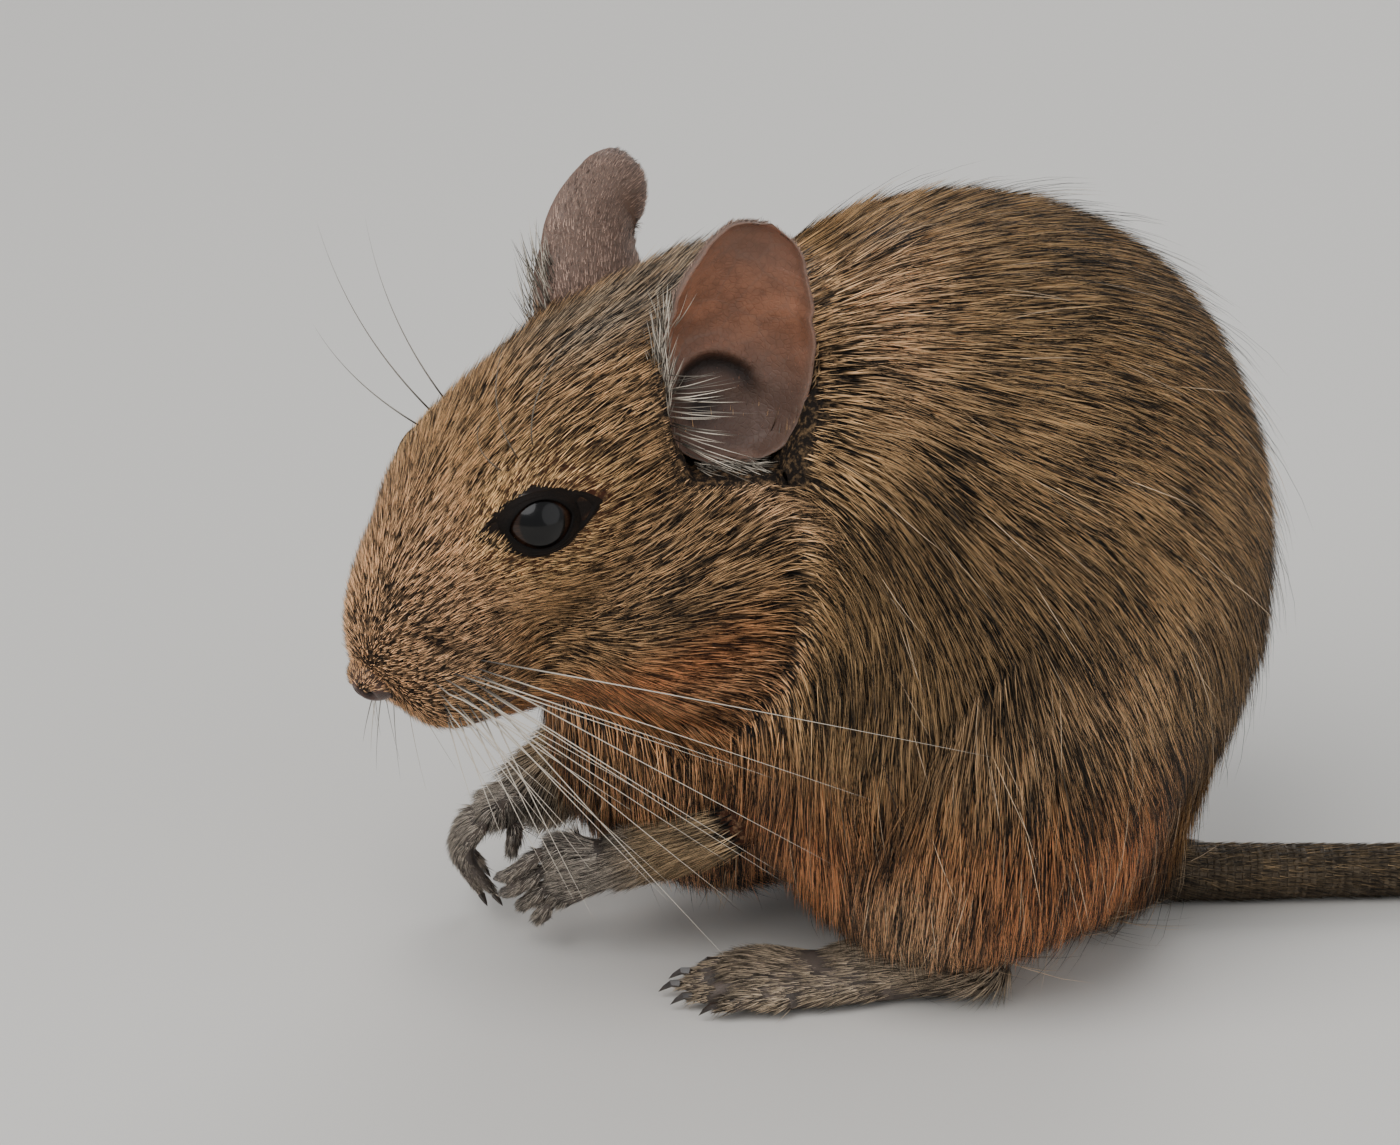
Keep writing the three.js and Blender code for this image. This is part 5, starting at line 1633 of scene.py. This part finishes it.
class DEGU_OT_whiskers(bpy.types.Operator):
    """Long whiskers on both pads, and the few above each eye"""
    bl_idname = "degu.whiskers"
    bl_label = "Whiskers"

    def execute(self, context):
        """Each whisker is a cubic curve from its root, bent backwards and down, kept clear of the coat, and
        drawn as a tapered tube of four sides."""
        tone = context.scene.degu_colours
        thick = context.scene.degu_body.whisker * METRE
        for side, s in SIDES:
            draw = np.random.default_rng(70 + int(s))
            count = WHISKERS
            row, far = np.arange(count) % 5, np.arange(count) // 5 / 5.0
            root = np.stack((40.0 - 5.4 * far, 0 * far, -2.9 - 1.2 * row + 0.3 * draw.normal(size=count)),
                            axis=1)
            root = met_skin(root, np.tile((0.0, s, 0.0), (count, 1)))
            long = mix(*(np.array(k, float)[row] for k in ((17, 16, 14, 12, 10), (50, 53, 47, 42, 30))), far)
            long = long * draw.uniform(0.86, 1.06, count)
            way = np.array(((-0.62, 0.66, -0.46), (-0.59, 0.63, -0.62), (-0.47, 0.61, -0.74),
                            (-0.27, 0.57, -0.83), (-0.02, 0.48, -0.88)))[row]
            way = way + (0.4 * (1 - far)[:, None] * (1, 0.2, 0)) + 0.06 * draw.normal(size=(count, 3))
            way = way * (1, 1.0 if s > 0 else 0.82, 1)
            bend = np.tile((-0.05, -0.02, -0.07), (count, 1))
            brow = in_head(np.array(((20.5, 9.2, 16), (22.5, 9.0, 15.6), (24.5, 8.6, 15.0))) * (1, s, 1))
            brow = settled(skin_field, brow, 6)
            root = np.vstack((root, brow))
            long = np.append(long, (22, 26, 18))
            brow_way = np.array(((0.1, 0.5, 0.9), (0.3, 0.35, 0.95), (0.5, 0.4, 0.8)))
            way = unit(np.vstack((way, brow_way)))
            bend = np.vstack((bend, np.full((3, 3), (-0.3, 0.1, -0.1))))
            way, bend = with_head(way * (1, s, 1)), with_head(bend * (1, s, 1))
            u = np.linspace(0, 1, 19)[None, :, None]
            line = root[:, None] + long[:, None, None] * (u * way[:, None] + u * u * bend[:, None])
            for _ in range(6):
                room = 0.8 - np.minimum(body_flesh(line) - 0.2, 0.8)
                line = line + (room * ease(0.05, 0.25, u[..., 0]))[..., None] * unit(uphill(body_flesh, line))
            kept_up(line, 0.6)
            along = unit(np.gradient(line, axis=1))
            across = unit(np.cross(along, np.array((0.3, 0.2, 0.93))))
            other = np.cross(along, across)
            r = thick * (1 - 0.93 * u ** 0.9)
            rings = np.stack([line + r * (math.cos(a) * across + math.sin(a) * other) for a in turns(4)],
                             axis=2)
            forms = [closed(line[k, 0] - along[k, 0] * 0.5, rings[k, :-1], line[k, -1])
                     for k in range(len(line))]
            verts, quads, tris, _ = joined(forms)
            step = with_ends(np.repeat(np.linspace(0, 1, 19)[:-1], 4), 0, 1)
            pale = np.ones(len(line)) if s > 0 else np.where(np.arange(len(line)) % 3 == 0, 0.9, 0.25)
            pale[-3:] = 0.3
            band = mix(linear(tone.tip), linear(tone.ear_hair), pale[:, None])
            piece = made_mesh("whiskers_" + side, verts, quads, tris, {
                "along": np.tile(step, len(line)), "under": np.tile(linear(tone.tip) * 3, (len(verts), 1)),
                "band": np.repeat(band, len(step), axis=0)})
            placed(piece, whisker_material(), "coat")
        return {"FINISHED"}


def paw_material():
    """The bare skin of hands and feet."""
    paw = bpy.context.scene.degu_colours.paw_skin
    return bare_material("Degu paw skin", paw, np.array(paw) * 0.65, 2300.0, 0.6, 0.00008)


def digit_form(line, root, tip, sides=20):
    """A finger or toe: a tube with round ends that swells a little at its joint and its pad."""
    def radius(t):
        """From the one thickness to the other, with both swellings."""
        joint, pad = bell((t - 0.5) / 0.09), bell((t - 0.9) / 0.07)
        return mix(root, tip, t) * (1 + 0.07 * joint + 0.06 * pad)

    end = unit(np.subtract(line[-1], line[-2])) * 0.1
    return closed(*tube([*line[:-1], line[-1] + end], radius, 30, sides, 0.2))


def remeshed(name, forms, voxel, smooth):
    """Closed forms fused into one skin by a voxel remesh, then smoothed. Returns its vertices, faces and
    normals in the animal's millimetres."""
    verts, quads, tris, _ = joined(forms)
    rough = made_mesh(name + "_rough", verts, quads, tris)
    rough.modifiers.new("fuse", "REMESH").mode = "VOXEL"
    rough.modifiers["fuse"].voxel_size = voxel * MM
    rough.modifiers["fuse"].use_smooth_shade = True
    calm = rough.modifiers.new("calm", "SMOOTH")
    calm.factor, calm.iterations = 0.5, smooth
    bpy.context.view_layer.update()
    mesh = bpy.data.meshes.new_from_object(rough.evaluated_get(bpy.context.evaluated_depsgraph_get()))
    places = np.empty(len(mesh.vertices) * 3)
    mesh.vertices.foreach_get("co", places)
    normals = np.empty(len(mesh.vertices) * 3)
    mesh.vertices.foreach_get("normal", normals)
    mesh.calc_loop_triangles()
    faces = np.empty(len(mesh.loop_triangles) * 3, np.int32)
    mesh.loop_triangles.foreach_get("vertices", faces)
    bpy.data.objects.remove(rough)
    bpy.data.meshes.remove(mesh)
    return places.reshape(-1, 3) * METRE - SHIFT, faces.reshape(-1, 3), normals.reshape(-1, 3)


def short_coat(name, verts, faces, normals, count, weight, lie, long, band, seed, width, rise):
    """Short hair on a fused skin: roots by area times weight, lying along the given way."""
    draw = np.random.default_rng(seed)
    a, b, c = (verts[faces[:, k]] for k in range(3))
    area = norm(np.cross(b - a, c - a))
    area = area * np.clip(weight((a + b + c) / 3, normals[faces[:, 0]]), 0, None)
    face = draw.choice(len(faces), size=count, p=area / area.sum())
    s, t = draw.random((2, count, 1))
    flip = (s + t) > 1
    s, t = np.where(flip, 1 - s, s), np.where(flip, 1 - t, t)
    roots = a[face] + s * (b - a)[face] + t * (c - a)[face]
    up = normals[faces[face, 0]]
    way = laid(lie(roots), up)
    low, high = verts.min(0), verts.max(0)
    uv = ((roots - low) / (high - low))[:, :2]
    tone = bpy.context.scene.degu_colours
    tuft_piece(name, roots, uv, up, way, long(roots), linear(tone.back_under), band(roots), seed, width, rise,
               clump=0.15, cell=1.0, segments=1, tip_dark=0.3)


class DEGU_OT_hands(bpy.types.Operator):
    """Hands that meet under the chin, with their short hair and that of the forearms"""
    bl_idname = "degu.hands"
    bl_label = "Hands"

    def execute(self, context):
        """A hand is a palm between wrist and knuckles, four fingers and a thumb, fused into one."""
        tone = context.scene.degu_colours
        for side, s in SIDES:
            arm = ARMS[side]
            wrist, elbow, bulge = (np.array(arm[k], float) for k in ("wrist", "elbow", "bulge"))
            first, last = (np.array(p, float) for p in arm["knuckles"])
            reach = unit(wrist - elbow)
            forms = []
            for share, r in ((0.0, 1.5), (0.33, 1.6), (0.66, 1.6), (1.0, 1.5)):
                knuckle = mix(first, last, share)
                forms.append(closed(*tube((wrist - reach * 3.5, wrist, mix(wrist, knuckle, 0.5), knuckle),
                                          lambda t, r=r: mix(2.55, r, t), 30, 24, 0.1)))
            digits = []
            for i, p in enumerate(arm["tips"]):
                tip = np.array(p, float)
                root = mix(first, last, i / 3)
                digits.append([root, mix(root, tip, 0.45) + bulge, tip])
                forms.append(digit_form(digits[-1], 0.9, 0.62))
            thumb = [np.array(p, float) for p in arm["thumb"]]
            digits.append([thumb[0], mix(thumb[0], thumb[1], 0.5), thumb[1]])
            forms.append(digit_form(digits[-1], 1.0, 0.7))
            verts, faces, normals = remeshed("hand_" + side, forms, 0.22, 3)
            kept_up(verts)
            fold = 0.35 * ease(0.2, 0.8, wave(verts, 91, 0.7))
            piece = made_mesh("paw_" + side, verts, tris=faces, attributes={"shade": fold})
            placed(piece, paw_material(), "paw", ("hand_" + side,))
            palm = [wrist - reach * 3, wrist, mix(first, last, 0.5)]
            lines = [spline(line, 24) for line in [palm] + digits]
            ways = np.concatenate([slopes(line) for line in lines])
            lines = np.concatenate(lines)

            def along(p):
                """The way of the nearest digit, or of the palm."""
                return ways[norm(p[:, None] - lines[None]).argmin(axis=1)]

            short_coat("hand_hair_" + side, verts, faces, normals, TUFTS["hand"],
                       lambda p, n: 0.25 + ease(-0.6, 0.5, n @ unit(np.array((-0.4, -0.5, 0.7)))), along,
                       lambda p: np.interp(norm(p - wrist), (0, 6, 14), (3.0, 2.1, 1.1)),
                       lambda p: linear(tone.hand_band), 72, 0.12, 0.07)
            verts, quads, tris, _ = arm_form(side)
            faces = all_triangles(quads, tris)
            normals = unit(np.cross(verts[faces[:, 1]] - verts[faces[:, 0]],
                                    verts[faces[:, 2]] - verts[faces[:, 0]]))
            point_normals = np.zeros_like(verts)
            point_normals[faces] += normals[:, None]

            def sleeve(p):
                """Silvery at the wrist as on the hand, then the coat's own brown."""
                far = ease(2, 9, norm(p - wrist))[:, None]
                return mix(linear(tone.hand_band), linear(tone.paw_band) * 1.1, far)

            droop = reach if s > 0 else unit(reach + np.array((0.2, 0, -0.9)))
            short_coat("forearm_hair_" + side, verts, faces, unit(point_normals), TUFTS["forearm"],
                       lambda p, n: ease(-0.5, 2.0, (p - elbow) @ reach), lambda p: droop,
                       lambda p: np.interp(norm(p - wrist), (0, 6, 20), (3.0, 4.6, 6.5)),
                       sleeve, 73, 0.18, 0.18 if s > 0 else 0.36)
        return {"FINISHED"}


class DEGU_OT_feet(bpy.types.Operator):
    """Hind feet with five toes each, and their short hair"""
    bl_idname = "degu.feet"
    bl_label = "Hind feet"

    def execute(self, context):
        """A hind foot is a long sole, a raised hock, a broad ball and five toes, fused into one."""
        tone = context.scene.degu_colours
        band = linear(0.5 * (np.array(tone.paw_band) + np.array(tone.hand_band)))
        for side, s in SIDES:
            heel = np.array(HEEL) * (1, -s, 1) + (0 if s > 0 else 3, 0, 0)
            ball = np.array((heel[0] - 23, heel[1] - 0.8 * s, 2.6))
            field = flesh([
                limb(heel, (heel[0] - 9, heel[1], 3.6), 3.5, 3.1, 3),
                limb((heel[0] - 2, heel[1], 6.5), (heel[0] - 13, heel[1], 3.8), 3.0, 2.4, 4),
                ellipsoid(BODY, (ball[0] + 4, ball[1], 2.4), (9, 4.5, 2.7), 3),
                ellipsoid(BODY, (ball[0] - 1, ball[1], 2.2), (3.5, 4.5, 2.3), 3),
            ])
            forms = [closed(*drawn_over(field, (heel, (heel[0] - 12, heel[1], 3), ball), 60, 60, 14))]
            for i, long in enumerate(TOES):
                fan = (i - 2) * 0.1
                root = np.array((ball[0] + 0.5 + 0.5 * abs(i - 2), ball[1] + (i - 2) * 2.05, 2.0))
                tip = np.array((root[0] - long - 1, root[1] + fan * long, 1.25))
                line = [root + (2, 0, 0), root, mix(root, tip, 0.55) + (0, 0, 0.9), tip]
                forms.append(digit_form(line, 1.3, 0.92))
            verts, faces, normals = remeshed("foot_" + side, forms, 0.38, 4)
            kept_up(verts, 0.03)
            # Random darker blotches, and painted shade in the lowest millimetre where the foot meets the
            # floor.
            fold = 0.3 * ease(0.2, 0.8, wave(verts, 92, 0.8)) + 0.4 * ease(0.9, 0.1, verts[:, 2])
            piece = made_mesh("sole_" + side, verts, tris=faces, attributes={"shade": np.clip(fold, 0, 1)})
            placed(piece, paw_material(), "paw", ("hind_foot_" + side,))
            short_coat("foot_hair_" + side, verts, faces, normals, TUFTS["foot"],
                       lambda p, n: ease(-0.8, 0.1, n[:, 2]) * ease(0.8, 1.6, p[:, 2]),
                       lambda p: np.array((-1.0, 0, -0.1)),
                       lambda p: np.interp(p[:, 0] - ball[0], (-9, 0, 12, 24), (1.8, 2.3, 3.2, 4.2)),
                       lambda p: band, 74, 0.15, 0.12)
        return {"FINISHED"}


class DEGU_OT_claws(bpy.types.Operator):
    """Horn on the claws, whose solids keep their shape"""
    bl_idname = "degu.claws"
    bl_label = "Claws"

    def execute(self, context):
        """Puts the horn material on every claw of the frame."""
        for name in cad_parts:
            if "claw" in name:
                shown = bpy.data.objects[name]
                shown.data.materials.clear()
                shown.data.materials.append(horn_material())
        return {"FINISHED"}


def tail_radius(t):
    """The tail's radius at a share of its length, thickest where it leaves the rump."""
    return mix(3.5, 1.8, t ** 0.8) + 1.0 * np.maximum(0, 1 - 9 * t)


class DEGU_OT_tail(bpy.types.Operator):
    """The ringed tail, its short hair and the black brush at its end"""
    bl_idname = "degu.tail"
    bl_label = "Tail"

    def execute(self, context):
        """The tail is a tube whose radius falls from rump to brush and ripples with its scale rings."""
        def ringed(t):
            """The radius with a small ripple for each ring of scales."""
            return tail_radius(t) + 0.05 * np.sin(t * TAIL_LONG * 2 * np.pi / 1.1)

        first, rows, last = tube(TAIL_LINE, ringed, 620, 40, 0.02)
        kept_up(rows)
        verts, quads, tris, _ = closed(first, rows, last)
        run = with_ends(np.repeat(np.linspace(0, TAIL_LONG, len(rows)), 40), 0, TAIL_LONG)
        turn = with_ends(np.tile(np.abs(np.arange(40) - 20) * 0.6, len(rows)))
        skin = made_mesh("tail_skin", verts, quads, tris, {"run": run, "turn": turn})
        placed(skin, tail_material(), "tail", TAIL_NODES)
        self.hair(context)
        self.brush(context)
        return {"FINISHED"}

    def hair(self, context):
        """Short stiff hair in rings, dark with pale ticking, over all of the tail."""
        tone = context.scene.degu_colours
        line = spline(TAIL_LINE, 400)
        along = slopes(line)
        draw = np.random.default_rng(80)
        count = TUFTS["tail"]
        t = draw.random(count)
        ring = np.round(t * 100) / 100
        t = np.clip(ring + draw.normal(size=count) * 0.0018, 0, 0.995)
        k = (t * 399).astype(int)
        a = draw.uniform(0, 2 * np.pi, count)
        up = off_line(along[k], a)
        roots = line[k] + up * tail_radius(t)[:, None]
        keep = roots[:, 2] > 0.15
        roots, up, way, t, a = roots[keep], up[keep], along[k][keep], t[keep], a[keep]
        pale = np.clip(0.5 + 0.45 * draw.normal(size=len(roots)), 0, 1) * ease(-0.5, 0.6, up[:, 2])
        band = mix(linear(tone.tail), linear(tone.tail_band), pale[:, None])
        tuft_piece("tail_hair", roots, np.stack((a / FULL_TURN, t), axis=1), up, way, mix(2.4, 3.6, t),
                   linear(tone.tail) * 0.6, band, 81, 0.19, 0.07, clump=0.0, segments=1, tip_dark=0.35,
                   slot="tail")

    def brush(self, context):
        """Long black locks round the last part of the tail, longest and loosest at its tip."""
        tone = context.scene.degu_colours
        line = spline(TAIL_LINE, 400)
        way = slopes(line)[-1]
        draw = np.random.default_rng(82)
        count = TUFTS["brush"]
        run = draw.uniform(-14, 9, count)
        a = draw.uniform(0, 2 * np.pi, count)
        up = off_line(way, a)
        k = np.clip(399 - (np.maximum(-run, 0) / TAIL_LONG * 399), 0, 399).astype(int)
        centre = np.where((run < 0)[:, None], line[k], line[-1] + way * run[:, None])
        roots = centre + up * np.interp(run, (-14, 0, 9), (1.7, 1.6, 0.5))[:, None]
        kept_up(roots, 0.3)
        long = np.interp(run, (-14, -4, 9), (6, 11.5, 12.5)) * draw.uniform(0.8, 1.1, count)
        band = mix(linear(tone.tip), linear(tone.tail), draw.random((count, 1)) * 0.6)
        tuft_piece("brush_hair", roots, np.stack((a / FULL_TURN, (run + 14) / 24), axis=1), up,
                   np.broadcast_to(way, roots.shape), long, linear(tone.tip) * 0.8, band, 83, 0.22, 0.16,
                   clump=0.3, cell=1.4, segments=3, tip_dark=0.3, slot="tail", nodes=("tail_brush",))


class DEGU_OT_stage(bpy.types.Operator):
    """Pale floor, soft lights and the camera"""
    bl_idname = "degu.stage"
    bl_label = "Stage"

    def execute(self, context):
        """The floor is a wide disc. The camera looks along +Y from above at the photograph's angle."""
        scene = context.scene
        stage = scene.degu_stage
        a = turns(64)
        rows = np.stack([np.stack((r * np.cos(a), r * np.sin(a), 0 * a), axis=1) for r in (300, 900, 2500)])
        at = np.arange(3)[:, None] * 64 + np.arange(64)[None]
        nxt = np.roll(at, -1, axis=1)
        quads = np.stack((at[:-1], at[1:], nxt[1:], nxt[:-1]), axis=-1).reshape(-1, 4)
        tris = np.stack((at[0], nxt[0], np.full(64, 192)), axis=-1)
        floor = made_mesh("floor", np.vstack((rows.reshape(-1, 3), ((0, 0, 0),))) - (0, 0, 0.02), quads, tris)
        floor.data.materials.append(floor_material())
        target = (np.array(AIM) + SHIFT) * MM
        up, back = math.sin(stage.elevation), math.cos(stage.elevation)
        camera = bpy.data.objects.new("camera", bpy.data.cameras.new("camera"))
        scene.collection.objects.link(camera)
        camera.location = target + stage.distance * np.array((0, -back, up))
        camera.rotation_euler = (math.pi / 2 - stage.elevation, 0, 0)
        camera.data.lens = stage.lens
        camera.data.sensor_width = 36.0
        camera.data.clip_start = 0.01
        scene.camera = camera
        for name, place, size, power in (
                ("key", (-0.35, -0.45, 0.75), 0.9, stage.key), ("fill", (0.7, -0.5, 0.35), 1.0, stage.fill),
                ("rim", (0.3, 0.7, 0.5), 0.5, stage.fill)):
            light = bpy.data.objects.new(name, bpy.data.lights.new(name, "AREA"))
            scene.collection.objects.link(light)
            light.location = target + np.array(place)
            way = -np.array(place) / np.linalg.norm(place)
            light.rotation_euler = Vector(way).to_track_quat("-Z", "Y").to_euler()
            light.data.shape = "DISK"
            light.data.size = size
            light.data.energy = power
        world = bpy.data.worlds.new("studio")
        world.use_nodes = True
        world.node_tree.nodes["Background"].inputs[0].default_value = (0.9, 0.95, 1.0, 1.0)
        world.node_tree.nodes["Background"].inputs[1].default_value = 0.45
        scene.world = world
        return {"FINISHED"}


class DEGU_PT_panel(bpy.types.Panel):
    """Lists the pieces and their sizes and colours"""
    bl_label = "Degu"
    bl_idname = "DEGU_PT_panel"
    bl_space_type = "VIEW_3D"
    bl_region_type = "UI"
    bl_category = "Degu"

    def draw(self, context):
        """One button for each group of pieces, then the properties."""
        for kind in OPERATORS:
            self.layout.operator(kind.bl_idname)
        for group in (context.scene.degu_coat, context.scene.degu_body, context.scene.degu_colours,
                      context.scene.degu_stage):
            box = self.layout.box()
            for key in group.bl_rna.properties.keys():
                if key not in ("rna_type", "name"):
                    box.prop(group, key)


GROUPS = {"degu_colours": DeguColours, "degu_coat": DeguCoat, "degu_body": DeguBody, "degu_stage": DeguStage}
OPERATORS = (DEGU_OT_skin, DEGU_OT_coat, DEGU_OT_eyes, DEGU_OT_ears, DEGU_OT_muzzle, DEGU_OT_whiskers,
             DEGU_OT_hands, DEGU_OT_feet, DEGU_OT_claws, DEGU_OT_tail, DEGU_OT_stage)


def register():
    """Registers the classes and hangs the property groups on the scene."""
    for kind in (*GROUPS.values(), *OPERATORS, DEGU_PT_panel):
        bpy.utils.register_class(kind)
    for key, kind in GROUPS.items():
        setattr(bpy.types.Scene, key, bpy.props.PointerProperty(type=kind))


def unregister():
    """Takes away what register added."""
    for key in GROUPS:
        delattr(bpy.types.Scene, key)
    for kind in reversed((*GROUPS.values(), *OPERATORS, DEGU_PT_panel)):
        bpy.utils.unregister_class(kind)


def main():
    """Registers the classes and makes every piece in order."""
    register()
    for kind in OPERATORS:
        group, name = kind.bl_idname.split(".")
        getattr(getattr(bpy.ops, group), name)()


if __name__ == "__main__":
    main()
